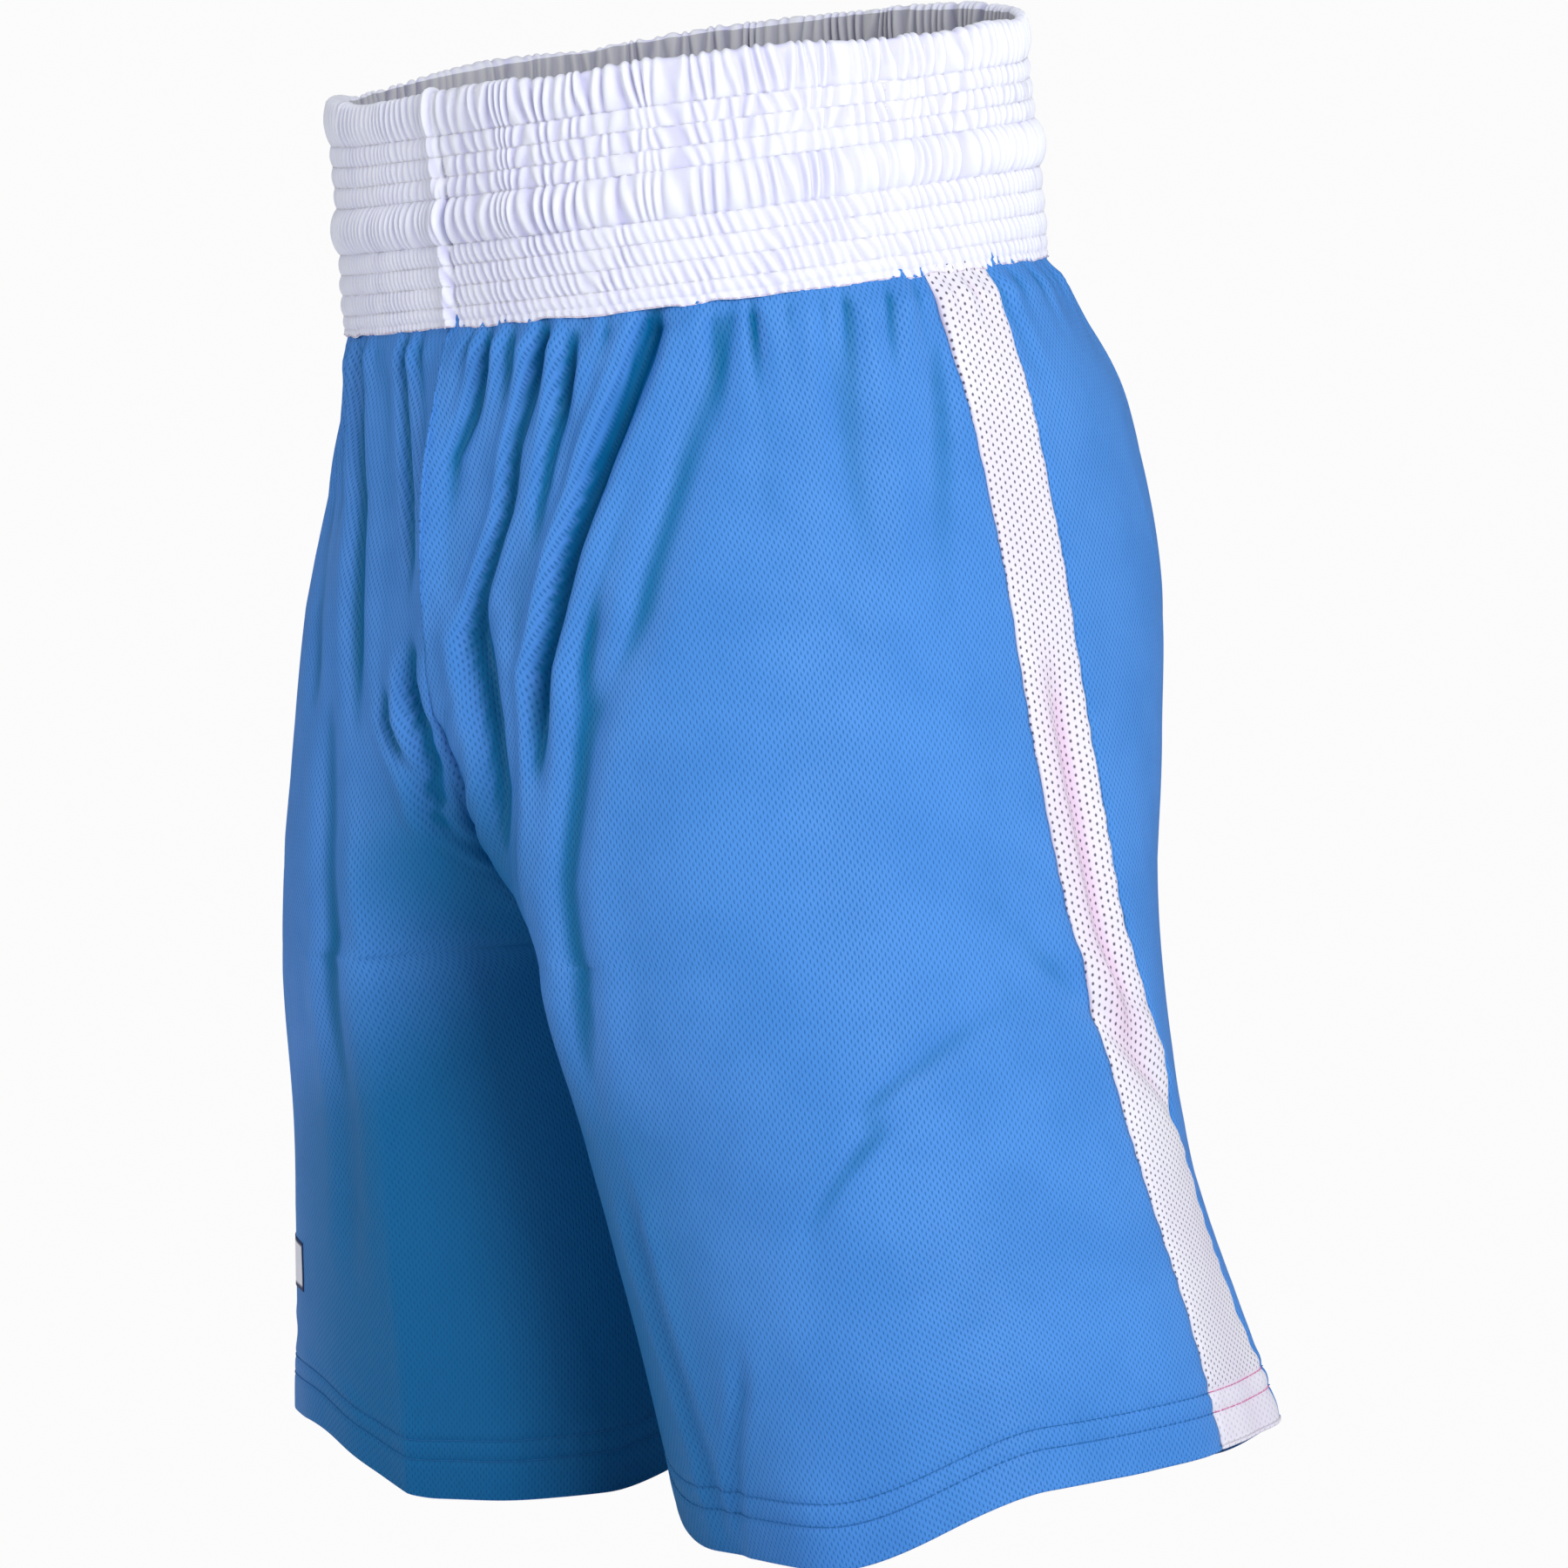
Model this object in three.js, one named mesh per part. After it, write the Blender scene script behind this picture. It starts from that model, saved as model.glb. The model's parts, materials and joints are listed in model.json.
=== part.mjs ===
// Boxing shorts with a deep shirred waistband, four body panels and two mesh side panels.
// Millimetres, +Z up. The wearer faces -Y and the wearer's left side is +X.
import * as THREE from 'three';

// Heights above the lowest edge of the hems.
const BODY_HEIGHT = 447;
const CROTCH_HEIGHT = 212;
const BAND_HEIGHT = 92;
const FRONT_CURVE_HEIGHT = 100;
const BACK_CURVE_HEIGHT = 150;

// Half sizes of the whole outline at the waist and of one leg at the hem.
const WAIST_HALF_WIDTH = 145;
const WAIST_FRONT_DEPTH = 112;
const WAIST_BACK_DEPTH = 123;
const HEM_OUTER_REACH = 226;
const HEM_FRONT_DEPTH = 107;
const HEM_BACK_DEPTH = 117;
const HEM_INNER_REACH = 14;

// Cloth, elastic and thread.
const CLOTH = 1.2;
const ELASTIC = 1.2;
const CASING_WALL = 1.2;
const CLEARANCE = 0.3;
const THREAD = 0.8;
const LABEL_CLOTH = 0.5;

// The side panels: their width and how far behind the outermost line their middle lies.
const SIDE_WIDTH_WAIST = 32;
const SIDE_WIDTH_CROTCH = 30;
const SIDE_WIDTH_HEM = 54;
const SIDE_BEHIND_WAIST = 16;
const SIDE_BEHIND_CROTCH = 24;
const SIDE_BEHIND_HEM = 57;

// The turned-up hems, their two stitch rows and the way the hems hang.
const HEM_DEPTH = 26;
const HEM_STITCH_LOW = 15;
const HEM_STITCH_HIGH = 23;
const HEM_RISE = 24;
const HEM_FLAT_ANGLE = 22;
const HEM_RISEN_ANGLE = 60;
const HEM_LOW_LEFT = 3;
const HEM_LOW_RIGHT = -40;

// The waistband: the cloth tucked into it, its tilt and its rows.
const TUCK = 6.5;
const WAIST_TILT = 0.05;
const BAND_TOP_TILT = 0.1;
const BAND_TOP_NARROWING = 2;
const NARROW_ROW = 8;
const PUFFED_ROW = 18;
const LOWER_NARROW_ROWS = 4;
const UPPER_NARROW_ROWS = 3;
const WAIST_STITCH_HEIGHT = 3;

// Seam strips, labels and the patch.
const SEAM_HALF_WIDTH = 3;
const SEAM_TOP_BELOW_BAND = 16;
const SEAM_LIFT = 0.9;
const JOIN_HALF_WIDTH = 4;
const PATCH_BOTTOM = 58;
const PATCH_TOP = 84;
const PATCH_FIRST_CELL = 5;
const PATCH_LAST_CELL = 8;
const SIZE_LABEL_BOTTOM = 24;
const SIZE_LABEL_TOP = 48;
const CARE_LABEL_TOP_BELOW_BAND = 16;
const CARE_LABEL_HEIGHT = 40;

// Mesh columns of each panel and steps of each quarter outline.
const FRONT_CELLS = 10;
const SIDE_CELLS = 2;
const BACK_CELLS = 12;
const OUTLINE_STEPS = 40;

const LEG = CROTCH_HEIGHT / 3;
const UPPER = (BODY_HEIGHT - CROTCH_HEIGHT) / 4;
const NARROW = BAND_TOP_NARROWING;

// Outline stations from the hem to the top of the band. side is the reach outwards from the
// centre plane, front and back are depths, corner is where the front is deepest, middle is
// where the outline is widest, gap is the inner reach of the leg, centre is the depth of the
// centre front and bend says how square the inner quarters are.
const STATIONS = [
  { z: 0, side: HEM_OUTER_REACH, front: HEM_FRONT_DEPTH, back: HEM_BACK_DEPTH,
    corner: 130, middle: 0, gap: HEM_INNER_REACH, centre: 130, bend: 2.4 },
  { z: LEG, side: 214, front: 112, back: 107,
    corner: 104, middle: -2, gap: 11, centre: 130, bend: 2.2 },
  { z: 2 * LEG, side: 200, front: 120, back: 104,
    corner: 78, middle: -1, gap: 6, centre: 130, bend: 1.9 },
  { z: CROTCH_HEIGHT, side: 185, front: 133, back: 114,
    corner: 60, middle: 3, gap: 0, centre: 130, bend: 1.5 },
  { z: CROTCH_HEIGHT + UPPER, side: 174, front: 133, back: 133,
    corner: 54, middle: 6, gap: 0, centre: 130, bend: 1.5 },
  { z: CROTCH_HEIGHT + 2 * UPPER, side: 166, front: 128, back: 150,
    corner: 44, middle: 7, gap: 0, centre: 132, bend: 1.9 },
  { z: CROTCH_HEIGHT + 3 * UPPER, side: 156, front: 121, back: 147,
    corner: 30, middle: 5, gap: 0, centre: 127, bend: 2.1 },
  { z: BODY_HEIGHT, side: WAIST_HALF_WIDTH, front: WAIST_FRONT_DEPTH,
    back: WAIST_BACK_DEPTH, corner: 16, middle: 1, gap: 0, centre: WAIST_FRONT_DEPTH + 1,
    bend: 2.2 },
  { z: BODY_HEIGHT + BAND_HEIGHT, side: WAIST_HALF_WIDTH - NARROW,
    front: WAIST_FRONT_DEPTH - NARROW, back: WAIST_BACK_DEPTH - NARROW,
    corner: 16, middle: 1, gap: 0, centre: WAIST_FRONT_DEPTH + 1 - NARROW, bend: 2.2 },
];
const CROTCH_DEPTH = -12;
const OUTER_BEND = 2.3;
const CURVE_BEND = 2.2;

const smooth = (from, to, value) => THREE.MathUtils.smoothstep(value, from, to);

// One field of the stations at a height, by a cubic through the stations on either side.
function station(field, z) {
  const last = STATIONS.length - 1;
  let i = 0;
  while (i < last - 1 && z > STATIONS[i + 1].z) i += 1;
  const slope = (k) => {
    const a = STATIONS[Math.max(k - 1, 0)];
    const b = STATIONS[Math.min(k + 1, last)];
    return (b[field] - a[field]) / (b.z - a.z);
  };
  const a = STATIONS[i];
  const b = STATIONS[i + 1];
  const h = b.z - a.z;
  const t = THREE.MathUtils.clamp((z - a.z) / h, 0, 1);
  const rest = 1 - t;
  const start = (1 + 2 * t) * rest * rest * a[field] + t * rest * rest * h * slope(i);
  const end = t * t * (3 - 2 * t) * b[field] - t * t * rest * h * slope(i + 1);
  return start + end;
}

// How far a rise curve has gone at a height above the crotch.
function riseShare(z, height) {
  const t = Math.min((z - CROTCH_HEIGHT) / height, 1);
  return (1 - (1 - t) ** CURVE_BEND) ** (1 / CURVE_BEND);
}

// The half outline at a height: points from the inner front edge round the outside to the
// inner back edge, with the length walked so far.
const outlines = new Map();
function outline(z) {
  const key = z.toFixed(4);
  if (outlines.has(key)) return outlines.get(key);
  const corner = station('corner', z);
  const front = -station('front', z);
  const back = station('back', z);
  const side = station('side', z);
  const middle = station('middle', z);
  const bend = station('bend', z);
  const inner = Math.max(station('gap', z), 0);
  let frontEdge = -CROTCH_DEPTH;
  let backEdge = -CROTCH_DEPTH;
  if (z > CROTCH_HEIGHT) {
    const down = Math.max(z, STATIONS[4].z);
    frontEdge += (-station('centre', down) + CROTCH_DEPTH) * riseShare(z, FRONT_CURVE_HEIGHT);
    backEdge += (back - 2 + CROTCH_DEPTH) * riseShare(z, BACK_CURVE_HEIGHT);
  }
  const quarter = (ax, ay, bx, by, power) => {
    const points = [];
    for (let i = 0; i <= OUTLINE_STEPS; i += 1) {
      const turn = (i / OUTLINE_STEPS) * (Math.PI / 2);
      const x = ax + (bx - ax) * Math.sin(turn) ** (2 / power);
      const y = by + (ay - by) * Math.max(Math.cos(turn), 0) ** (2 / power);
      points.push(new THREE.Vector2(x, y));
    }
    return points;
  };
  const edge = inner + CLEARANCE / 2;
  const points = [
    ...quarter(corner, front, edge, frontEdge, bend).reverse(),
    ...quarter(corner, front, side, middle, OUTER_BEND).slice(1),
    ...quarter(corner, back, side, middle, OUTER_BEND).reverse().slice(1),
    ...quarter(corner, back, edge, backEdge, bend).slice(1),
  ];
  const lengths = [0];
  for (let i = 1; i < points.length; i += 1) {
    lengths.push(lengths[i - 1] + points[i].distanceTo(points[i - 1]));
  }
  const result = {
    points, lengths, outermost: lengths[2 * OUTLINE_STEPS], total: lengths[lengths.length - 1],
  };
  outlines.set(key, result);
  return result;
}

function onOutline(z, s) {
  const { points, lengths, total } = outline(z);
  const at = THREE.MathUtils.clamp(s, 0, total);
  let low = 0;
  let high = lengths.length - 1;
  while (high - low > 1) {
    const mid = (low + high) >> 1;
    if (lengths[mid] <= at) low = mid;
    else high = mid;
  }
  const share = (at - lengths[low]) / (lengths[high] - lengths[low] || 1);
  return points[low].clone().lerp(points[high], share);
}

// A point of one half at a height and a walked length, moved inwards by an inset. The waist
// tilts up to the back, and the hem hangs lowest in front and behind.
function outlinePoint(z, s, inset, side) {
  const p = onOutline(z, s);
  const ahead = onOutline(z, s + 1.5);
  const behind = onOutline(z, s - 1.5);
  const along = ahead.sub(behind).normalize();
  const x = p.x - along.y * inset;
  const y = p.y + along.x * inset;
  const legCentre = (HEM_OUTER_REACH + HEM_INNER_REACH) / 2;
  const angle = THREE.MathUtils.radToDeg(Math.atan2(p.x - legCentre, -p.y));
  const low = side > 0 ? HEM_LOW_LEFT : HEM_LOW_RIGHT;
  const away = (from) => Math.abs(THREE.MathUtils.euclideanModulo(angle - from + 180, 360) - 180);
  const nearest = Math.min(away(low), away(180));
  const hang = HEM_RISE * smooth(HEM_FLAT_ANGLE, HEM_RISEN_ANGLE, nearest);
  const lower = 1 - smooth(0, 0.75 * CROTCH_HEIGHT, z);
  const tilt = WAIST_TILT * smooth(CROTCH_HEIGHT + FRONT_CURVE_HEIGHT, BODY_HEIGHT, z);
  const top = (BAND_TOP_TILT - WAIST_TILT) * Math.max((z - BODY_HEIGHT) / BAND_HEIGHT, 0);
  const up = z + hang * lower + (tilt + top) * p.y;
  return new THREE.Vector3(side * Math.max(x, CLEARANCE / 2), y, up);
}

// The same, with the waistband running straight from the waist to its top.
const BAND_TOP = BODY_HEIGHT + BAND_HEIGHT;
function cloth(z, s, inset, side = 1) {
  if (z <= BODY_HEIGHT) return outlinePoint(z, s, inset, side);
  const share = s / outline(z).total;
  const low = outlinePoint(BODY_HEIGHT, share * outline(BODY_HEIGHT).total, inset, side);
  const high = outlinePoint(BAND_TOP, share * outline(BAND_TOP).total, inset, side);
  return low.lerp(high, (z - BODY_HEIGHT) / BAND_HEIGHT);
}

// The joins on either side of a side panel, as walked lengths.
function sideJoins(z) {
  const t = THREE.MathUtils.clamp(z / CROTCH_HEIGHT, 0, 1);
  const u = THREE.MathUtils.clamp((z - CROTCH_HEIGHT) / (BODY_HEIGHT - CROTCH_HEIGHT), 0, 1);
  const mix = (hem, crotch, waist) => hem + (crotch - hem) * t + (waist - crotch) * u;
  const behind = mix(SIDE_BEHIND_HEM, SIDE_BEHIND_CROTCH, SIDE_BEHIND_WAIST);
  const width = mix(SIDE_WIDTH_HEM, SIDE_WIDTH_CROTCH, SIDE_WIDTH_WAIST);
  const middle = outline(z).outermost + behind;
  return [middle - width / 2, middle + width / 2];
}

function span(from, to, cells) {
  return Array.from({ length: cells + 1 }, (_, i) => from + ((to - from) * i) / cells);
}
function frontColumns(z) {
  return span(CLEARANCE / 2, sideJoins(z)[0] - CLEARANCE / 2, FRONT_CELLS);
}
function sideColumns(z) {
  const [a, b] = sideJoins(z);
  return span(a + CLEARANCE / 2, b - CLEARANCE / 2, SIDE_CELLS);
}
function backColumns(z) {
  return span(sideJoins(z)[1] + CLEARANCE / 2, outline(z).total - CLEARANCE / 2, BACK_CELLS);
}

// Rows of the panels, from the hem up into the band.
const LEG_ROWS = span(HEM_DEPTH + 1, PATCH_BOTTOM, 1);
const MID_LEG_ROWS = span(PATCH_TOP, CROTCH_HEIGHT - 7, 3);
const CROTCH_ROWS = [0, 0.01, 0.04, 0.1, 0.2, 0.34, 0.5, 0.75, 1];
const ROWS = [
  0, HEM_STITCH_LOW, HEM_STITCH_HIGH, HEM_DEPTH, ...LEG_ROWS, ...MID_LEG_ROWS,
  ...CROTCH_ROWS.map((share) => CROTCH_HEIGHT + share * BACK_CURVE_HEIGHT),
];
const HIP_ROW = CROTCH_HEIGHT + BACK_CURVE_HEIGHT;
ROWS.push(...span(HIP_ROW, BODY_HEIGHT - SEAM_TOP_BELOW_BAND, 2).slice(1));
ROWS.push(BODY_HEIGHT, BODY_HEIGHT + TUCK);

// A solid from two matching grids of points. Its faces are turned outwards.
function solid(positions, indices) {
  let volume = 0;
  const corner = [new THREE.Vector3(), new THREE.Vector3(), new THREE.Vector3()];
  for (let i = 0; i < indices.length; i += 3) {
    corner.forEach((v, k) => v.copy(positions[indices[i + k]]));
    volume += corner[0].dot(corner[1].clone().cross(corner[2]));
  }
  const faces = [];
  for (let i = 0; i < indices.length; i += 3) {
    const [a, b, c] = indices.slice(i, i + 3);
    faces.push(...(volume > 0 ? [a, b, c] : [a, c, b]));
  }
  const geometry = new THREE.BufferGeometry().setFromPoints(positions);
  geometry.setIndex(faces);
  geometry.computeVertexNormals();
  return geometry;
}

function slab(outer, inner) {
  const columns = outer.length;
  const rows = outer[0].length;
  const positions = [...outer.flat(), ...inner.flat()];
  const shift = columns * rows;
  const at = (i, j, layer) => layer * shift + i * rows + j;
  const faces = [];
  const quad = (a, b, c, d) => faces.push(a, b, c, a, c, d);
  for (let i = 0; i < columns - 1; i += 1) {
    for (let j = 0; j < rows - 1; j += 1) {
      quad(at(i, j, 0), at(i + 1, j, 0), at(i + 1, j + 1, 0), at(i, j + 1, 0));
      quad(at(i, j, 1), at(i, j + 1, 1), at(i + 1, j + 1, 1), at(i + 1, j, 1));
    }
    quad(at(i, 0, 0), at(i, 0, 1), at(i + 1, 0, 1), at(i + 1, 0, 0));
    const top = rows - 1;
    quad(at(i, top, 0), at(i + 1, top, 0), at(i + 1, top, 1), at(i, top, 1));
  }
  for (let j = 0; j < rows - 1; j += 1) {
    quad(at(0, j, 0), at(0, j + 1, 0), at(0, j + 1, 1), at(0, j, 1));
    const end = columns - 1;
    quad(at(end, j, 0), at(end, j, 1), at(end, j + 1, 1), at(end, j + 1, 0));
  }
  return solid(positions, faces);
}

// A closed ring from matching loops of profile points.
function ring(loops) {
  const count = loops[0].length;
  const faces = [];
  loops.forEach((_, i) => {
    const next = (i + 1) % loops.length;
    for (let j = 0; j < count; j += 1) {
      const up = (j + 1) % count;
      faces.push(i * count + j, next * count + j, next * count + up);
      faces.push(i * count + j, next * count + up, i * count + up);
    }
  });
  return solid(loops.flat(), faces);
}

const shorts = new THREE.Group();
const PAINTS = {
  blue: { color: '#3f8bdb', roughness: 0.55 },
  white: { color: '#f4f3fb', roughness: 0.75 },
  mesh: { color: '#f1eef8', roughness: 0.7 },
  elastic: { color: '#e9e7ee', roughness: 0.8 },
  blueThread: { color: '#2f7cc9', roughness: 0.6 },
  whiteThread: { color: '#e6e2f2', roughness: 0.7 },
  pinkThread: { color: '#d65a9c', roughness: 0.6 },
  label: { color: '#fafafa', roughness: 0.6 },
};
function add(name, geometry, paint) {
  const material = new THREE.MeshStandardMaterial({ ...PAINTS[paint], metalness: 0 });
  const mesh = new THREE.Mesh(geometry, material);
  mesh.name = name;
  shorts.add(mesh);
}

// The body panels. The turned-up hem doubles the cloth.
function panel(columnsAt, side) {
  const count = columnsAt(0).length;
  const outer = [];
  const inner = [];
  for (let i = 0; i < count; i += 1) {
    outer.push(ROWS.map((z) => cloth(z, columnsAt(z)[i], 0, side)));
    inner.push(ROWS.map((z) => {
      const layers = z <= HEM_DEPTH ? 2 : 1;
      return cloth(z, columnsAt(z)[i], layers * CLOTH, side);
    }));
  }
  return slab(outer, inner);
}

// A strip of thread and seam edges inside a join, hugging the cloth on either side.
function seamStrip(beforeAt, afterAt, rows, side) {
  const near = CLOTH + CLEARANCE;
  const far = near + THREAD;
  const layer = (inset) => {
    const lines = [[], [], []];
    rows.forEach((z) => {
      const [b1, b0] = beforeAt(z).map((s) => cloth(z, s, inset, side));
      const [a0, a1] = afterAt(z).map((s) => cloth(z, s, inset, side));
      const middle = b0.clone().lerp(a0, 0.5);
      const step = (from, to) => from.clone().lerp(to, SEAM_HALF_WIDTH / from.distanceTo(to));
      lines[0].push(step(b0, b1));
      lines[1].push(middle);
      lines[2].push(step(a0, a1));
    });
    return lines;
  };
  return slab(layer(near), layer(far));
}

const SIDE_SEAM_ROWS = ROWS.filter((z) => z > HEM_DEPTH && z < BODY_HEIGHT - 1);
const INSEAM_ROWS = ROWS.filter((z) => z > HEM_DEPTH && z < CROTCH_HEIGHT - 1);
const lastTwo = (list) => list.slice(-2);
const firstTwo = (list) => list.slice(0, 2);

// One thread row round a leg, just outside the cloth.
function hemThread(height, side) {
  const columns = [...frontColumns(height), sideColumns(height)[1], ...backColumns(height).slice(0, -1)];
  const total = outline(height).total;
  return ring(columns.map((s) => {
    const share = s / total;
    return [[-CLEARANCE, -0.5], [-CLEARANCE - THREAD, -0.5],
      [-CLEARANCE - THREAD, 0.5], [-CLEARANCE, 0.5]].map(([inset, lift]) => {
      const z = height + lift * THREAD;
      return cloth(z, share * outline(z).total, inset, side);
    });
  }));
}

for (const [hand, side] of [['left', 1], ['right', -1]]) {
  add(`front_panel_${hand}`, panel(frontColumns, side), 'blue');
  add(`side_panel_${hand}`, panel(sideColumns, side), 'mesh');
  add(`back_panel_${hand}`, panel(backColumns, side), 'blue');
  add(`side_seam_front_${hand}`, seamStrip((z) => lastTwo(frontColumns(z)),
    (z) => firstTwo(sideColumns(z)), SIDE_SEAM_ROWS, side), 'pinkThread');
  add(`side_seam_back_${hand}`, seamStrip((z) => lastTwo(sideColumns(z)),
    (z) => firstTwo(backColumns(z)), SIDE_SEAM_ROWS, side), 'pinkThread');
  add(`inseam_${hand}`, seamStrip((z) => lastTwo(backColumns(z)),
    (z) => firstTwo(frontColumns(z)), INSEAM_ROWS, side), 'blueThread');
  add(`hem_stitch_low_${hand}`, hemThread(HEM_STITCH_LOW, side), 'blueThread');
  add(`hem_stitch_high_${hand}`, hemThread(HEM_STITCH_HIGH, side), 'blueThread');
}

// The centre seam: down the front, under the crotch and up the back, inside the panels.
function centreSeam() {
  const top = BODY_HEIGHT - SEAM_TOP_BELOW_BAND;
  const heights = ROWS.filter((z) => z >= CROTCH_HEIGHT && z <= top);
  const stops = [
    ...heights.slice().reverse().map((z) => [z, ...firstTwo(frontColumns(z))]),
    ...heights.slice(1).map((z) => [z, ...lastTwo(backColumns(z)).reverse()]),
  ];
  const line = stops.map(([z, s]) => cloth(z, s, 0));
  const layer = (inset) => {
    const lines = [[], [], [], []];
    stops.forEach(([z, edge, next], i) => {
      const before = line[Math.max(i - 1, 0)];
      const after = line[Math.min(i + 1, line.length - 1)];
      const along = new THREE.Vector3(0, after.y - before.y, after.z - before.z).normalize();
      const lift = new THREE.Vector3(0, -along.z, along.y).multiplyScalar(SEAM_LIFT);
      const e = cloth(z, edge, inset);
      const n = cloth(z, next, inset);
      const wide = e.clone().lerp(n, SEAM_HALF_WIDTH / e.distanceTo(n)).add(lift);
      e.add(lift);
      lines[0].push(new THREE.Vector3(-wide.x, wide.y, wide.z));
      lines[1].push(new THREE.Vector3(-e.x, e.y, e.z));
      lines[2].push(e);
      lines[3].push(wide);
    });
    return lines;
  };
  const near = CLOTH + CLEARANCE;
  return slab(layer(near), layer(near + THREAD));
}
add('centre_seam', centreSeam(), 'blueThread');

// Columns round the whole waist, as shares of the half outline with a side.
const waistTotal = outline(BODY_HEIGHT).total;
const waistShares = [
  ...frontColumns(BODY_HEIGHT), sideColumns(BODY_HEIGHT)[1], ...backColumns(BODY_HEIGHT),
].map((s) => s / waistTotal);
const waistColumns = [
  ...waistShares.map((share) => [share, 1]),
  ...waistShares.map((share) => [share, -1]).reverse(),
];
const bandPoint = (share, side, lift, inset) => {
  const z = BODY_HEIGHT + lift;
  return cloth(z, share * outline(z).total, inset, side);
};
const bandRing = (profile) => ring(waistColumns.map(([share, side]) => (
  profile.map(([inset, lift]) => bandPoint(share, side, lift, inset))
)));

// The folded casing: an outer wall, the fold along the top and an inner wall.
const CHANNEL_OUT = -CLEARANCE;
const CHANNEL_IN = Math.max(CLOTH, ELASTIC) + CLEARANCE;
const CASING_OUT = CHANNEL_OUT - CASING_WALL;
const CASING_IN = CHANNEL_IN + CASING_WALL;
const bandTop = BAND_HEIGHT;
add('waistband_casing', bandRing([
  [CASING_OUT, 0], [CHANNEL_OUT, 0], [CHANNEL_OUT, bandTop - CASING_WALL],
  [CHANNEL_IN, bandTop - CASING_WALL], [CHANNEL_IN, 0], [CASING_IN, 0],
  [CASING_IN, bandTop], [CASING_OUT, bandTop],
]), 'white');

// Stitch rows through the casing and the elastic strips between them.
const lowerTop = LOWER_NARROW_ROWS * NARROW_ROW;
const upperBottom = lowerTop + PUFFED_ROW;
const stitchHeights = [];
for (let i = 1; i <= LOWER_NARROW_ROWS; i += 1) stitchHeights.push(i * NARROW_ROW);
for (let i = 0; i <= UPPER_NARROW_ROWS; i += 1) stitchHeights.push(upperBottom + i * NARROW_ROW);
const threadProfile = (lift) => [
  [CASING_OUT - CLEARANCE, lift - THREAD / 2], [CASING_OUT - CLEARANCE - THREAD, lift - THREAD / 2],
  [CASING_OUT - CLEARANCE - THREAD, lift + THREAD / 2], [CASING_OUT - CLEARANCE, lift + THREAD / 2],
];
add('waist_seam_stitch', bandRing(threadProfile(WAIST_STITCH_HEIGHT)), 'pinkThread');
stitchHeights.forEach((lift, i) => {
  add(`band_stitch_row_${i + 1}`, bandRing(threadProfile(lift)), 'whiteThread');
});
const elasticGap = 2 * CLEARANCE;
const stripBottoms = [];
for (let i = 1; i < LOWER_NARROW_ROWS; i += 1) stripBottoms.push(i * NARROW_ROW);
for (let i = 0; i < UPPER_NARROW_ROWS; i += 1) stripBottoms.push(upperBottom + i * NARROW_ROW);
stripBottoms.forEach((bottom, i) => {
  const from = bottom + elasticGap;
  const to = bottom + NARROW_ROW - elasticGap;
  add(`elastic_strip_${i + 1}`, bandRing([[0, from], [ELASTIC, from], [ELASTIC, to], [0, to]]), 'elastic');
});

// The join of the band's ends, inside the centre front.
const INSIDE = CASING_IN + CLEARANCE;
function joinStrip() {
  const share = waistShares[0];
  const next = waistShares[1];
  const lifts = span(2 * WAIST_STITCH_HEIGHT, bandTop - 2 * WAIST_STITCH_HEIGHT, 4);
  const layer = (inset) => [-1, 1].map((side) => lifts.map((lift) => {
    const a = bandPoint(share, side, lift, inset);
    const b = bandPoint(next, side, lift, inset);
    return a.clone().lerp(b, JOIN_HALF_WIDTH / a.distanceTo(b));
  }));
  return slab(layer(INSIDE), layer(INSIDE + THREAD));
}
add('band_join_seam', joinStrip(), 'whiteThread');

// The size label inside the centre back, and the care label below the band on the left.
function sizeLabel() {
  const [before, last] = lastTwo(waistShares);
  const lifts = span(SIZE_LABEL_BOTTOM, SIZE_LABEL_TOP, 2);
  const stops = [[before, 1], [last, 1], [last, -1], [before, -1]];
  const layer = (inset) => stops.map(([share, side]) => (
    lifts.map((lift) => bandPoint(share, side, lift, inset))
  ));
  return slab(layer(INSIDE), layer(INSIDE + LABEL_CLOTH));
}
add('size_label', sizeLabel(), 'label');

function careLabel() {
  const top = BODY_HEIGHT - CARE_LABEL_TOP_BELOW_BAND;
  const bottom = Math.max(top - CARE_LABEL_HEIGHT, HIP_ROW);
  const rows = [bottom, ...ROWS.filter((z) => z > bottom + 1 && z < top - 1), top];
  const near = CLOTH + CLEARANCE;
  // Between two rows the panel is straight, so the label's edge lies on the line between them.
  const onPanel = (z, k, inset) => {
    const above = ROWS.findIndex((row) => row >= z);
    const [low, high] = [ROWS[above - 1], ROWS[above]];
    const from = cloth(low, backColumns(low)[k], inset, 1);
    return from.lerp(cloth(high, backColumns(high)[k], inset, 1), (z - low) / (high - low));
  };
  const layer = (inset) => [1, 2].map((k) => rows.map((z) => onPanel(z, k, inset)));
  return slab(layer(near), layer(near + LABEL_CLOTH));
}
add('care_label', careLabel(), 'label');

// A plain patch low on the outside of the right leg.
function legPatch() {
  const cells = Array.from({ length: PATCH_LAST_CELL - PATCH_FIRST_CELL + 1 }, (_, i) => PATCH_FIRST_CELL + i);
  const layer = (inset) => cells.map((k) => (
    [PATCH_BOTTOM, PATCH_TOP].map((z) => cloth(z, frontColumns(z)[k], inset, -1))
  ));
  return slab(layer(-CLEARANCE), layer(-CLEARANCE - LABEL_CLOTH));
}
add('leg_patch', legPatch(), 'label');

// The origin is the middle of the base.
const box = new THREE.Box3().setFromObject(shorts);
const middle = box.getCenter(new THREE.Vector3());
shorts.position.set(-middle.x, -middle.y, -box.min.z);

export default shorts;
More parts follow.
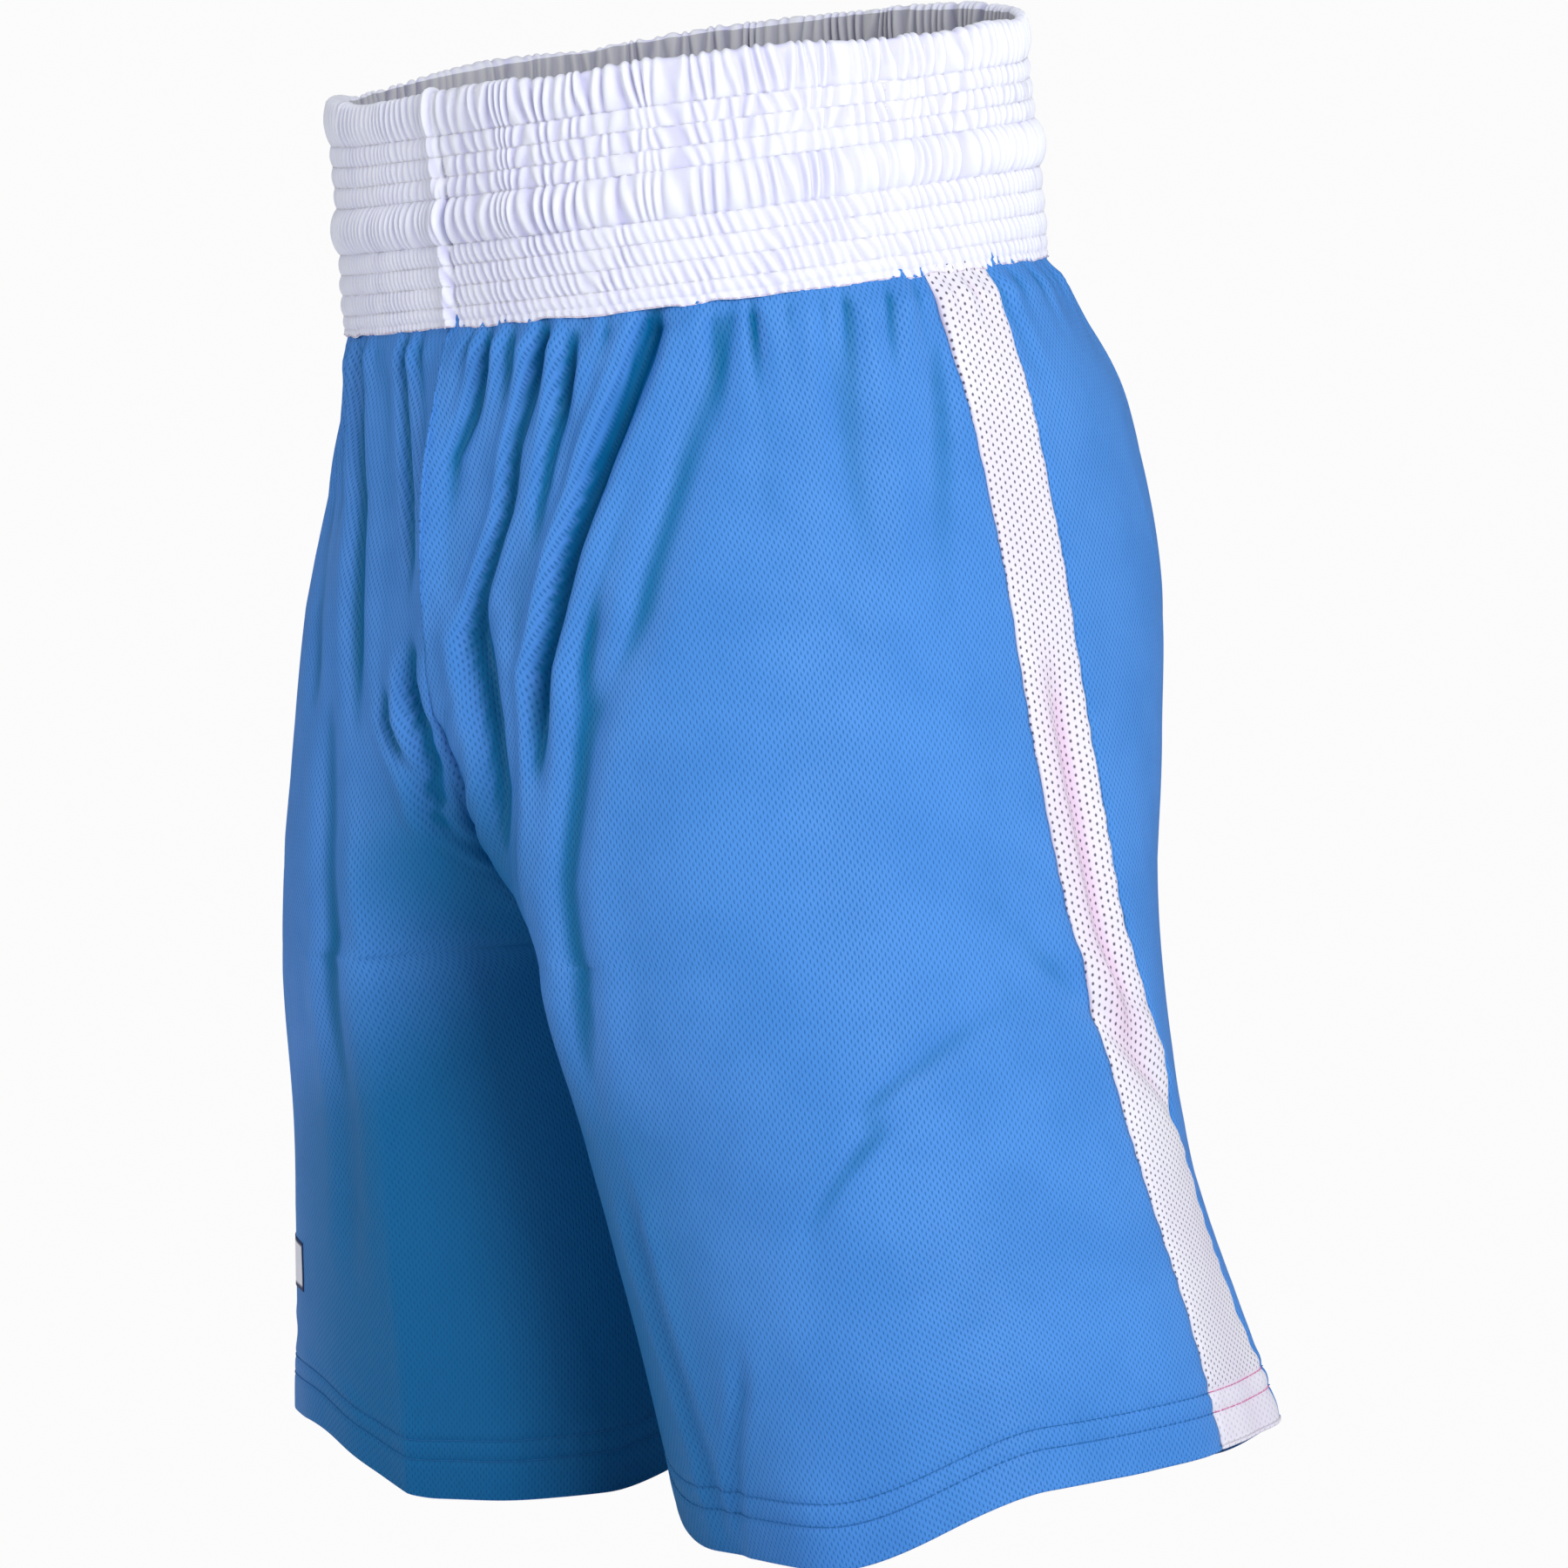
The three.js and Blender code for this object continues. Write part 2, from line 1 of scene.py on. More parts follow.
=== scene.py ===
"""Boxing shorts: gathered cloth panels, mesh side panels and a shirred waistband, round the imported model."""
import bpy
import json
import math
import numpy as np
from mathutils import Matrix, Vector
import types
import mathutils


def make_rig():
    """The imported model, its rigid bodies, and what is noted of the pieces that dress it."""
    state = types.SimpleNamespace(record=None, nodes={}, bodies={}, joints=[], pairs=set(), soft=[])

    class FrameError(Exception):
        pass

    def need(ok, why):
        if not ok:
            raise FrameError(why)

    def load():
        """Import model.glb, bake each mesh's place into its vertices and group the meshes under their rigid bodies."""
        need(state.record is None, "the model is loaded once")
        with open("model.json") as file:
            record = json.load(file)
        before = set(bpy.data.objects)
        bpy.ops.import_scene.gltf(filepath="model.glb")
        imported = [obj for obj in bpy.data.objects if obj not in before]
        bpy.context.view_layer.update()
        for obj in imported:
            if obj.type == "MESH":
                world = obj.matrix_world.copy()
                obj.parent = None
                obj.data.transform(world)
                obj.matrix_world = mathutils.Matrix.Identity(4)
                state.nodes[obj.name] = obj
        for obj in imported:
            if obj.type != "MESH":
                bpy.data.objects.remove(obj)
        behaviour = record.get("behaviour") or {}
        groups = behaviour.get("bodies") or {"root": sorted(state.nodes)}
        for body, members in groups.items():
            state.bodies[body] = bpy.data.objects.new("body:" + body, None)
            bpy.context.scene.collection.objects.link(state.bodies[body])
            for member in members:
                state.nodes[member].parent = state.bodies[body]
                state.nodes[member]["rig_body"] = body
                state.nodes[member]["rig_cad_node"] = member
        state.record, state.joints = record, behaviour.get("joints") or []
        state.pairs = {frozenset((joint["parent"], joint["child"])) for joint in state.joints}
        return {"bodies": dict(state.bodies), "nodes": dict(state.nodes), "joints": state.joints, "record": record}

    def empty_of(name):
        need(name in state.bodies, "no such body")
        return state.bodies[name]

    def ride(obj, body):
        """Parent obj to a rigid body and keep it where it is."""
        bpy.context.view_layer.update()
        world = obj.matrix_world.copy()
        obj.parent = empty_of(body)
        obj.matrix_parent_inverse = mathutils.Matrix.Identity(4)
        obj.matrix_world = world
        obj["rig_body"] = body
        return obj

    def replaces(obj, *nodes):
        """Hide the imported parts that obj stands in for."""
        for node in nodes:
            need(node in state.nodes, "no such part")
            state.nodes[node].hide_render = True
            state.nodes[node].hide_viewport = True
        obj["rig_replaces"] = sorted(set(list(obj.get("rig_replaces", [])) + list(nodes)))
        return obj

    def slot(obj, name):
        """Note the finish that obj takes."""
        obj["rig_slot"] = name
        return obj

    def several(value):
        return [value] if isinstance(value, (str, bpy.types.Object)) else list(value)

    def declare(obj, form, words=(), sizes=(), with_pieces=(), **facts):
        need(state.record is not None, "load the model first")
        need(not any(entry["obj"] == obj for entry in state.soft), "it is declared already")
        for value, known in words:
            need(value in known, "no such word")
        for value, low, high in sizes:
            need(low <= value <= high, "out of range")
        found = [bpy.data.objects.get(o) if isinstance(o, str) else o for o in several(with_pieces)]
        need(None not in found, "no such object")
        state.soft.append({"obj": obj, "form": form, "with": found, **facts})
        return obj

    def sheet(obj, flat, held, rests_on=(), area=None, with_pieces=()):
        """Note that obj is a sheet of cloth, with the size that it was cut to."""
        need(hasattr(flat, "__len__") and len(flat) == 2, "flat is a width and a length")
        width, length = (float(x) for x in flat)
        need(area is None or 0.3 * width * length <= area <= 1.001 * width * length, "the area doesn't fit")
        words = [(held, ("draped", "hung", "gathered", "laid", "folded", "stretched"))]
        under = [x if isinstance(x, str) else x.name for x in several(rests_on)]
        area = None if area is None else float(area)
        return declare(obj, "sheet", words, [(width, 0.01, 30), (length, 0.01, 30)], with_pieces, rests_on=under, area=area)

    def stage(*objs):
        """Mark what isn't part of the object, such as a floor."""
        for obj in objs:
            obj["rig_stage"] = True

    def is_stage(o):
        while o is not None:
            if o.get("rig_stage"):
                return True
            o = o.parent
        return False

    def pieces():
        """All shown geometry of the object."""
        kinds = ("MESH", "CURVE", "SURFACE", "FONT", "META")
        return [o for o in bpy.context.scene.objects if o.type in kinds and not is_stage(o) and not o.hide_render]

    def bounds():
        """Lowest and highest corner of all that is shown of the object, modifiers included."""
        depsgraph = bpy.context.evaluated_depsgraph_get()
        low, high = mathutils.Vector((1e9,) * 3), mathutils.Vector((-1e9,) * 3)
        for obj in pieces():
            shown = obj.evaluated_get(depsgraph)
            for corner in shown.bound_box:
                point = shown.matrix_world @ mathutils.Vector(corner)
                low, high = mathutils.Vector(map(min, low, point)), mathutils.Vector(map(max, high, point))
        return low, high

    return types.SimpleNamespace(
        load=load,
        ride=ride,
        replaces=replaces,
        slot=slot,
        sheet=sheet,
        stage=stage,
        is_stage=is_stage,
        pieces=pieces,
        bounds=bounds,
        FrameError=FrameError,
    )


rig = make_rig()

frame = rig.load()
CAD_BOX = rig.bounds()

# Sizes in millimetres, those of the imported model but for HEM_FLAT, HEM_RISEN, HEM_DEPTH, the values at
# the hem of SIDE_WIDTH and SIDE_BEHIND, and the 200 degrees in hang.
BODY = 447.0
CROTCH = 212.0
BAND = 92.0
FRONT_CURVE, BACK_CURVE = 100.0, 150.0
MIDDLE_Y = 8.5
CROTCH_BACK = 12.0
HEM_RISE, HEM_FLAT, HEM_RISEN = 24.0, 18.0, 62.0
HEM_LOW = {"left": 3.0, "right": -40.0}
LEG_CENTRE = 120.0
SIDE_WIDTH = (63.0, 30.0, 32.0)
SIDE_BEHIND = (69.0, 24.0, 16.0)
TILT, TOP_TILT = 0.05, 0.10
HEM_DEPTH, STITCH_LOW, STITCH_HIGH = 25.0, 15.0, 23.0
HEM_LIFT = 0.55
JOIN_TOP = BODY - 16
STRETCH = 1.55
CUT_RATIO = 1.35

STEP = (BODY - CROTCH) / 4
HEIGHTS = np.array([0, CROTCH / 3, 2 * CROTCH / 3, CROTCH, CROTCH + STEP, CROTCH + 2 * STEP,
                    CROTCH + 3 * STEP, BODY, BODY + BAND])
OUTLINE = {
    "side": np.array([226, 214, 200, 185, 174, 166, 156, 145, 143.0]),
    "front": np.array([107, 112, 120, 133, 133, 128, 121, 112, 110.0]),
    "back": np.array([117, 107, 104, 114, 133, 150, 147, 123, 121.0]),
    "corner": np.array([130, 104, 78, 60, 54, 44, 30, 16, 16.0]),
    "middle": np.array([0, -2, -1, 3, 6, 7, 5, 1, 1.0]),
    "gap": np.array([14, 11, 6, 0, 0, 0, 0, 0, 0.0]),
    "centre": np.array([130, 130, 130, 130, 130, 132, 127, 113, 111.0]),
    "bend": np.array([2.4, 2.2, 1.9, 1.5, 1.5, 1.9, 2.1, 2.2, 2.2]),
}
ARC = 60


def smooth(low, high, value):
    """0 below low, 1 above high, with level ends between."""
    t = np.clip((value - low) / (high - low), 0, 1)
    return t * t * (3 - 2 * t)


def hump(value, middle, width):
    """A bell of height 1 at the middle, a third high one width away."""
    return np.exp(-((value - middle) / width) ** 2)


def unit(vectors, tiny=0.0):
    """The vectors along the last axis, each made 1 long."""
    return vectors / (np.linalg.norm(vectors, axis=-1, keepdims=True) + tiny)


def at_places(where, known, values):
    """Rows of values read off at the places where, from the places known of each."""
    return np.stack([np.interp(where, known, values[:, k]) for k in range(values.shape[1])], -1)


def pattern_grid(across, down):
    """Pattern coordinates of a grid, from the place of each column and of each row."""
    return np.stack(np.broadcast_arrays(across[None, :], down[:, None]), -1) * 1.0


def station(field, z):
    """The outline's field at heights z, on a cubic through the two stations on either side."""
    v = OUTLINE[field]
    last = len(HEIGHTS) - 1
    i = np.clip(np.searchsorted(HEIGHTS, z, side="right") - 1, 0, last - 1)
    slope = np.empty(last + 1)
    slope[1:-1] = (v[2:] - v[:-2]) / (HEIGHTS[2:] - HEIGHTS[:-2])
    slope[0] = (v[1] - v[0]) / (HEIGHTS[1] - HEIGHTS[0])
    slope[-1] = (v[-1] - v[-2]) / (HEIGHTS[-1] - HEIGHTS[-2])
    h = HEIGHTS[i + 1] - HEIGHTS[i]
    t = np.clip((z - HEIGHTS[i]) / h, 0, 1)
    r = 1 - t
    return ((1 + 2 * t) * r * r * v[i] + t * r * r * h * slope[i]
            + t * t * (3 - 2 * t) * v[i + 1] - t * t * r * h * slope[i + 1])


def outlines(z):
    """Half outlines at heights z: four rounded quarters from the inner front edge to the inner back edge,
    each x = corner + reach sin^(2/n), y = edge + depth cos^(2/n), and the length walked along them."""
    s = {k: station(k, z)[:, None] for k in OUTLINE}
    share = lambda tall: (1 - (1 - np.clip((z - CROTCH) / tall, 0, 1)) ** 2.2) ** (1 / 2.2)
    low = np.maximum(z, HEIGHTS[4])
    front_edge = CROTCH_BACK - (station("centre", low) + CROTCH_BACK) * share(FRONT_CURVE)
    back_edge = CROTCH_BACK + (station("back", z) - 2 - CROTCH_BACK) * share(BACK_CURVE)
    turn = np.linspace(0, math.pi / 2, ARC + 1)[None, :]
    sin, cos = np.sin(turn), np.clip(np.cos(turn), 0, 1)

    def quarter(ay, bx, by, power):
        x = s["corner"] + (bx - s["corner"]) * sin ** (2 / power)
        y = by + (ay - by) * cos ** (2 / power)
        return np.stack([x, y + 0 * x], -1)
    edge = np.maximum(s["gap"], 0)
    parts = [quarter(-s["front"], edge, front_edge[:, None], s["bend"])[:, ::-1],
             quarter(-s["front"], s["side"], s["middle"], 2.3)[:, 1:],
             quarter(s["back"], s["side"], s["middle"], 2.3)[:, ::-1][:, 1:],
             quarter(s["back"], edge, back_edge[:, None], s["bend"])[:, 1:]]
    points = np.concatenate(parts, 1)
    steps = np.linalg.norm(np.diff(points, axis=1), axis=2)
    walked = np.concatenate([np.zeros((len(z), 1)), np.cumsum(steps, 1)], 1)
    return points, walked


def by_height(values, z):
    """Straight from the hem's value to the crotch's and from there to the waist's."""
    return np.interp(z, [0, CROTCH, BODY], values)


def joins(z, walked):
    """The walked lengths of the side panel's front and back edges."""
    middle = walked[:, 2 * ARC] + by_height(SIDE_BEHIND, z)
    half = by_height(SIDE_WIDTH, z) / 2
    return middle - half, middle + half


def on_outline(points, walked, s):
    """Points of each row's outline at walked lengths s."""
    return np.stack([at_places(s[i], walked[i], points[i]) for i in range(len(s))])


def hang(z, xy, hand):
    """Heights after the waist's tilt to the back and the hem's rise at the sides of each leg."""
    angle = np.degrees(np.arctan2(xy[..., 0] - LEG_CENTRE, -xy[..., 1]))
    away = lambda a: np.abs((angle - a + 180) % 360 - 180)
    near = np.minimum(away(HEM_LOW[hand]), away(200))
    lift = HEM_RISE * smooth(HEM_FLAT, HEM_RISEN, near) * (1 - smooth(0, 0.75 * CROTCH, z))
    return z + lift + TILT * smooth(CROTCH + FRONT_CURVE, BODY, z) * xy[..., 1]


def wander(value, seed, pitch, period=None):
    """A soft random wave from -1 to 1 along value, with a knot every pitch."""
    rng = np.random.default_rng(seed)
    count = int(period / pitch) if period else 400
    knots = rng.uniform(-1, 1, count)
    t = value / pitch
    i = np.floor(t).astype(int)
    f = t - i
    f = f * f * (3 - 2 * f)
    return knots[i % count] * (1 - f) + knots[(i + 1) % count] * f


def fold(across, along, line, width, depth, wall=1.0):
    """A valley that runs through the points (along, across) of line, with a low ridge on either side.
    Its depth rises and falls along it, and wall under 1 makes its nearer side the steeper."""
    a = np.array([p[0] for p in line], float)
    order = np.argsort(a)
    middle = np.interp(along, a[order], np.array([p[1] for p in line], float)[order])
    ends = smooth(a.min() - 26, a.min() + 26, along) * (1 - smooth(a.max() - 6, a.max() + 22, along))
    d = (across - middle) / width
    d = np.where(d < 0, d / wall, d)
    return depth * ends * (-np.exp(-d * d) + 0.42 * np.exp(-(np.abs(d) - 1.75) ** 2))


def gathers(w, z, hand):
    """Short valleys that hang from the waistband, narrow at the top and wider and softer lower down."""
    rng = np.random.default_rng({"left": 11, "right": 23}[hand])
    total = np.zeros_like(w)
    down = np.maximum(BODY - z, 0)
    place = -8.0
    while place < 445:
        place += rng.uniform(6.5, 15.5)
        width = rng.uniform(2.2, 4.2)
        length = rng.choice([14, 22, 35, 60, 95], p=[0.2, 0.3, 0.25, 0.15, 0.1])
        depth = rng.uniform(0.8, 1.7) + length * 0.012
        lean = rng.uniform(0.05, 0.22) * (1 if place < 225 else -1)
        middle = place - lean * down
        spread = width + 0.06 * down
        fade = np.exp(-(down / length) ** 1.5)
        d = (w - middle) / spread
        total += 1.3 * depth * fade * (-np.exp(-d * d) + 0.4 * np.exp(-(np.abs(d) - 1.6) ** 2))
    return total


def creases(s, z, seed, count, span_s, span_z, depth=0.45):
    """Small soft creases scattered over a panel, each a short ridge or valley on a slant."""
    rng = np.random.default_rng(seed)
    total = np.zeros_like(s)
    for _ in range(count):
        cs, cz = rng.uniform(*span_s), rng.uniform(*span_z)
        turn = rng.normal(math.pi / 2, 0.55)
        long, wide = rng.uniform(14, 36), rng.uniform(2.6, 5.5)
        a = (s - cs) * math.cos(turn) + (z - cz) * math.sin(turn)
        b = -(s - cs) * math.sin(turn) + (z - cz) * math.cos(turn) + 0.004 * rng.uniform(-1, 1) * a * a
        total += depth * rng.uniform(-1, 1) * np.exp(-(a / long) ** 2 - (b / wide) ** 2)
    return total


# The main folds: (height, distance from the centre plane) points, half width and depth.
FOLDS = {
    "left": [
        ([(447, 98), (413, 88), (389, 80), (360, 72), (335, 67), (317, 62), (290, 61)], 6.5, 8.5, 0.7),
        ([(443, 54), (428, 49), (402, 41), (377, 38), (345, 27), (330, 22)], 4.6, 4.6, 0.8),
        ([(437, 24), (414, 17), (399, 10)], 4.0, 3.4, 1.0),
        ([(447, 70), (430, 66), (405, 60), (380, 56)], 3.6, 3.2, 0.8),
        ([(447, 124), (381, 113), (338, 106), (302, 94)], 8.0, 2.6, 0.8),
        ([(335, 85), (303, 85), (268, 81), (242, 77), (208, 80), (172, 77)], 8.0, 2.9, 1.0),
        ([(330, 26), (300, 34), (275, 36), (250, 34)], 8.0, 7.5, 1.0),
        ([(300, 50), (270, 48), (240, 44)], 5.5, 3.5, 1.0),
        ([(118, 84), (80, 90), (40, 98), (6, 104)], 4.6, 2.3, 1.0),
        ([(62, 128), (34, 118), (4, 112)], 4.0, 1.9, 1.0),
        ([(150, 176), (132, 166), (120, 160)], 4.5, 1.7, 1.0),
        ([(190, 190), (172, 182), (158, 172)], 4.0, 1.5, 1.0),
    ],
    "right": [
        ([(447, 70), (413, 66), (380, 58), (350, 54), (310, 52)], 6.5, 3.2, 0.9),
        ([(443, 30), (420, 27), (390, 22), (360, 16)], 4.0, 3.0, 0.9),
        ([(440, 108), (400, 100), (350, 92), (300, 88)], 8.0, 2.5, 1.0),
        ([(314, 14), (300, 10), (284, 8), (262, 10)], 6.5, 7.0, 1.0),
        ([(300, 30), (285, 22), (268, 14)], 4.5, 3.6, 1.0),
        ([(300, 74), (260, 70), (220, 70), (160, 84), (90, 102)], 8.0, 2.0, 1.0),
    ],
}
BACK_FOLDS = [
    ([(447, 30), (400, 27), (350, 20), (310, 18)], 6.5, 3.6, 1.0),
    ([(447, 66), (400, 60), (360, 50)], 7.0, 3.2, 1.0),
    ([(447, 104), (410, 96), (370, 86), (330, 80)], 7.0, 3.4, 1.0),
    ([(280, 24), (240, 40), (210, 58), (170, 76)], 8.0, 4.0, 1.0),
    ([(250, 96), (200, 92), (150, 100), (90, 104)], 10.0, 2.6, 1.0),
]


def drape(hand, z, s, points, walked, xy):
    """How far the cloth stands out of the plain outline: gathers, folds, creases, seams and stitched hems."""
    zz = z[:, None] + 0 * s
    total = walked[:, -1:]
    outermost = walked[:, 2 * ARC][:, None]
    q = s - outermost
    x = np.abs(xy[..., 0])
    front = smooth(20, -20, xy[..., 1])
    w = s / total * 433
    r = q + 216
    d = gathers(w, zz, hand)
    for line, width, depth, wall in FOLDS[hand]:
        d += front * fold(x, zz, line, width, depth, wall)
    for line, width, depth, wall in BACK_FOLDS:
        d += (1 - front) * fold(x, zz, line, width, depth, wall)
    # the pressed crease down the front of each leg
    crease_x = np.interp(zz, [0, 110, 196, 265], [103, 93, 78, 70] if hand == "left" else [92, 72, 54, 52])
    strength = 0.9 if hand == "left" else 3.4
    lean = np.abs(x - crease_x)
    wide = 7 if hand == "left" else 10
    d += front * strength * np.exp(-lean / wide) * (1 - smooth(215, 285, zz))
    # the hips and the seat lie a little inside the plain outline
    bearing = np.degrees(np.arctan2(x, -xy[..., 1]))
    at_front = np.interp(zz, [0, 100, 200, 254, 276, 298, 342, 364, 386, 408, 430, 447],
                         [1.0, -1.5, -1.5, 0.3, 1.9, 2.8, 3.7, 5.6, 8.0, 7.2, 6.0, 3.0])
    at_back = np.interp(zz, [0, 60, 160, 250, 315, 360, 400, 447], [9.5, 6.5, 4.0, 4.0, 5.0, 2.8, 0.5, 0])
    d -= at_front * hump(bearing, 38, 42) + at_back * np.minimum(hump(bearing, 128, 48), 0.95)
    # broad swells
    d += 1.5 * np.sin(q / 31 + 1.3) * np.sin(zz / 62 + 0.4) * smooth(0, 60, zz + 20)
    d += 1.0 * np.sin(q / 19 - zz / 90 + 2.0) * (1 - smooth(200, 330, zz))
    d += 1.1 * np.sin(q / 13 + (0 if hand == "left" else 2.1)) * (1 - smooth(10, 120, zz))
    d += creases(r, zz, 5 if hand == "left" else 8, 90, (-60, 500), (0, 440))
    # side panel: a lengthwise tuck and a slanting one that crosses it
    front_join, back_join = joins(z, walked)
    f, b = front_join[:, None], back_join[:, None]
    c = (f + b) / 2
    d += -4.4 * hump(s, c + 2, 6.5) * smooth(150, 200, zz) * (1 - smooth(280, 320, zz))
    d += 1.6 * hump(s, c - 6, 4.5) * smooth(150, 200, zz) * (1 - smooth(270, 310, zz))
    d += -3.0 * hump(zz - (162 - 1.15 * (s - c)), 0, 8.0) * hump(s, c, 26)
    d += 2.2 * hump(zz - (184 - 1.15 * (s - c)), 0, 9.0) * hump(s, c, 26)
    # seams draw the cloth in and pucker it a little
    for line in (f, b):
        near = np.exp(-np.abs(s - line) / 1.6)
        d += -0.9 * near + 0.25 * np.exp(-((s - line) / 8) ** 2) * np.sin(zz / 2.1 + 3 * wander(zz, 3, 17))
    above = smooth(CROTCH - 1, CROTCH + 12, zz)
    d *= smooth(0, 13, np.minimum(s, total - s))
    pocket = smooth(CROTCH, CROTCH + 22, zz) * (1 - smooth(282, 312, zz))
    d += -5.0 * hump(s, 0, 10.0) * pocket
    radial = np.sin((zz - 1.1 * s) / 3.6 + 2.2 * wander(zz - 1.1 * s, 71, 15))
    d += 0.8 * radial * hump(s, 13, 11) * smooth(CROTCH + 10, CROTCH + 36, zz) * (1 - smooth(290, 318, zz))
    for edge in (s, total - s):
        d += -1.3 * np.exp(-edge / 2.2) * above
        d += 0.3 * np.exp(-(edge / 9) ** 2) * np.sin(zz / 2.4 + 2 * wander(zz, 7, 19)) * above
        d += -0.7 * np.exp(-edge / 1.8) * (1 - above)
    at_seam = smooth(0, 13, np.minimum(s, total - s))
    # the stitched hem
    hem = 1 - smooth(24, 34, zz)
    for height, cut in ((STITCH_LOW, 0.5), (STITCH_HIGH, 0.55)):
        d += -cut * hump(zz, height, 1.3)
    ripple = np.sin(r / 1.35 + 2.5 * wander(r + 300, 31, 14)) * (0.55 + 0.45 * wander(r + 300, 37, 23))
    d += 0.28 * at_seam * ripple * hump(zz, (STITCH_LOW + STITCH_HIGH) / 2, 7)
    d += 0.35 * at_seam * hem * np.sin(r / 6.1 + 2 * wander(r + 300, 41, 40)) + 0.35 * hem
    return d


# Rows of the panels: close together just above the crotch, where the edge turns quickly.
LEG_ROWS = np.concatenate([np.linspace(0, 30, 26)[:-1], np.linspace(30, CROTCH, 84)[:-1]])
SEAT_ROWS = CROTCH + (BODY + 5 - CROTCH) * np.linspace(0, 1, 122) ** 1.45
ROWS = np.concatenate([LEG_ROWS, SEAT_ROWS])


def spread_out(width, z, t):
    """Distances from the side join at shares t of a panel's width. The columns follow the width smoothed
    over the height, so that they run straight up, and the inner edge takes up what is left over."""
    even = np.interp(np.arange(-80, BODY + 81, 1.0), z, width)
    kernel = np.hanning(101)
    even = np.convolve(even, kernel / kernel.sum(), "same")
    soft = np.interp(z, np.arange(-80, BODY + 81, 1.0), even)
    share = np.abs(t) ** 5
    return soft[:, None] * t + (width - soft)[:, None] * share


def eased(base, z, weight):
    """The points with the sharp turn at the height of the crotch rounded off, by taking each column's mean
    over the heights near it. The inner edges keep their place."""
    near = np.nonzero(np.abs(z - CROTCH) < 34)[0]
    wide = np.arange(z[near[0]] - 30, z[near[-1]] + 30, 1.0)
    kernel = np.hanning(35)[:, None]
    kernel = kernel / kernel.sum()
    out = base.copy()
    fade = (1 - smooth(16, 34, np.abs(z[near] - CROTCH)))[:, None] * weight[near]
    for column in range(base.shape[1]):
        even = at_places(wide, z, base[:, column])
        mean = np.stack([np.convolve(even[:, k], kernel[:, 0], "same") for k in range(3)], -1)
        new = at_places(z[near], wide, mean)
        share = fade[:, column:column + 1]
        out[near, column] = base[near, column] * (1 - share) + new * share
    return out


def cloth_grid(hand, which, columns):
    """The draped outer surface of one panel: rows by columns of points in millimetres, and of
    pattern coordinates. A point is the outline's, moved along the surface's own normal by the drape."""
    z = ROWS
    points, walked = outlines(np.minimum(z, BODY))
    f, b = joins(np.minimum(z, BODY), walked)
    step = 1.0 / (columns - 1)
    t = np.concatenate([[-step], np.linspace(0, 1, columns), [1 + step]])[None, :]
    if which == "side":
        s = f[:, None] + (b - f)[:, None] * t
    elif which == "front":
        s = f[:, None] - spread_out(f, z, 1 - t)
    else:
        s = b[:, None] + spread_out(walked[:, -1] - b, z, t)

    def placed(points, walked, s):
        xy = on_outline(points, walked, s)
        first, final = xy[:, 1:2] * 2 - xy[:, 2:3], xy[:, -2:-1] * 2 - xy[:, -3:-2]
        inside = (s >= 0) & (s <= walked[:, -1:])
        xy[:, :1] = np.where(inside[:, :1, None], xy[:, :1], first)
        xy[:, -1:] = np.where(inside[:, -1:, None], xy[:, -1:], final)
        return xy

    def surface(shift):
        zs = np.minimum(z, BODY - 1.0) + shift
        p, w = outlines(zs)
        q = s - walked[:, 2 * ARC][:, None]
        xy = placed(p, w, np.clip(q + w[:, 2 * ARC][:, None], 0, w[:, -1:]))
        return np.concatenate([xy, hang(zs[:, None], xy, hand)[..., None]], -1)
    xy = placed(points, walked, s)
    height = hang(np.minimum(z, BODY)[:, None], xy, hand) + np.maximum(z - BODY, 0)[:, None]
    base = np.concatenate([xy, height[..., None]], -1)
    if which != "side":
        reach = s if which == "front" else walked[:, -1:] - s
        base = eased(base, z, smooth(1, 22, reach))
    across = np.gradient(base, axis=1)
    low_side = np.where((z > CROTCH + 1.0) | (z < CROTCH), -1.0, 0.0)
    up = surface(1.0 + 0 * z) - surface(low_side)
    if which != "side":
        steep = np.gradient(base, z, axis=0)
        near = ((1 - smooth(12, 30, np.abs(z - CROTCH)))[:, None] * smooth(1, 22, reach))[..., None]
        up = unit(up) * (1 - near) + near * unit(steep, 1e-9)
    normal = unit(np.cross(across, up), 1e-12)
    sc = np.clip(s, 0, walked[:, -1:])
    d = drape(hand, z, sc, points, walked, xy)
    tuck = smooth(BODY - 15, BODY + 2, z)[:, None]
    flat = smooth(BODY - 5, BODY + 2, z)[:, None]
    flat = np.maximum(flat, smooth(BODY - 8, BODY - 1, z)[:, None])
    d = np.minimum(d * (1 - 0.75 * flat), 0.4 + 9 * (1 - flat)) - 5.7 * tuck ** 2
    centre = np.minimum(sc, walked[:, -1:] - sc)
    onplane = (z >= CROTCH)[:, None] & (centre < 0.5)
    normal[..., 0] = np.where(onplane, 0, normal[..., 0])
    moved = base + normal * d[..., None]
    moved[..., 2] = np.where(z[:, None] < 2, base[..., 2], moved[..., 2])
    moved[..., 0] = np.maximum(moved[..., 0], 0.0)
    moved = moved[:, 1:-1]
    normal = normal[:, 1:-1]
    q = s[:, 1:-1] - walked[:, 2 * ARC][:, None]
    uv = np.stack([q + 400, z[:, None] + 0 * q], -1)
    return moved, normal, uv, d[:, 1:-1]


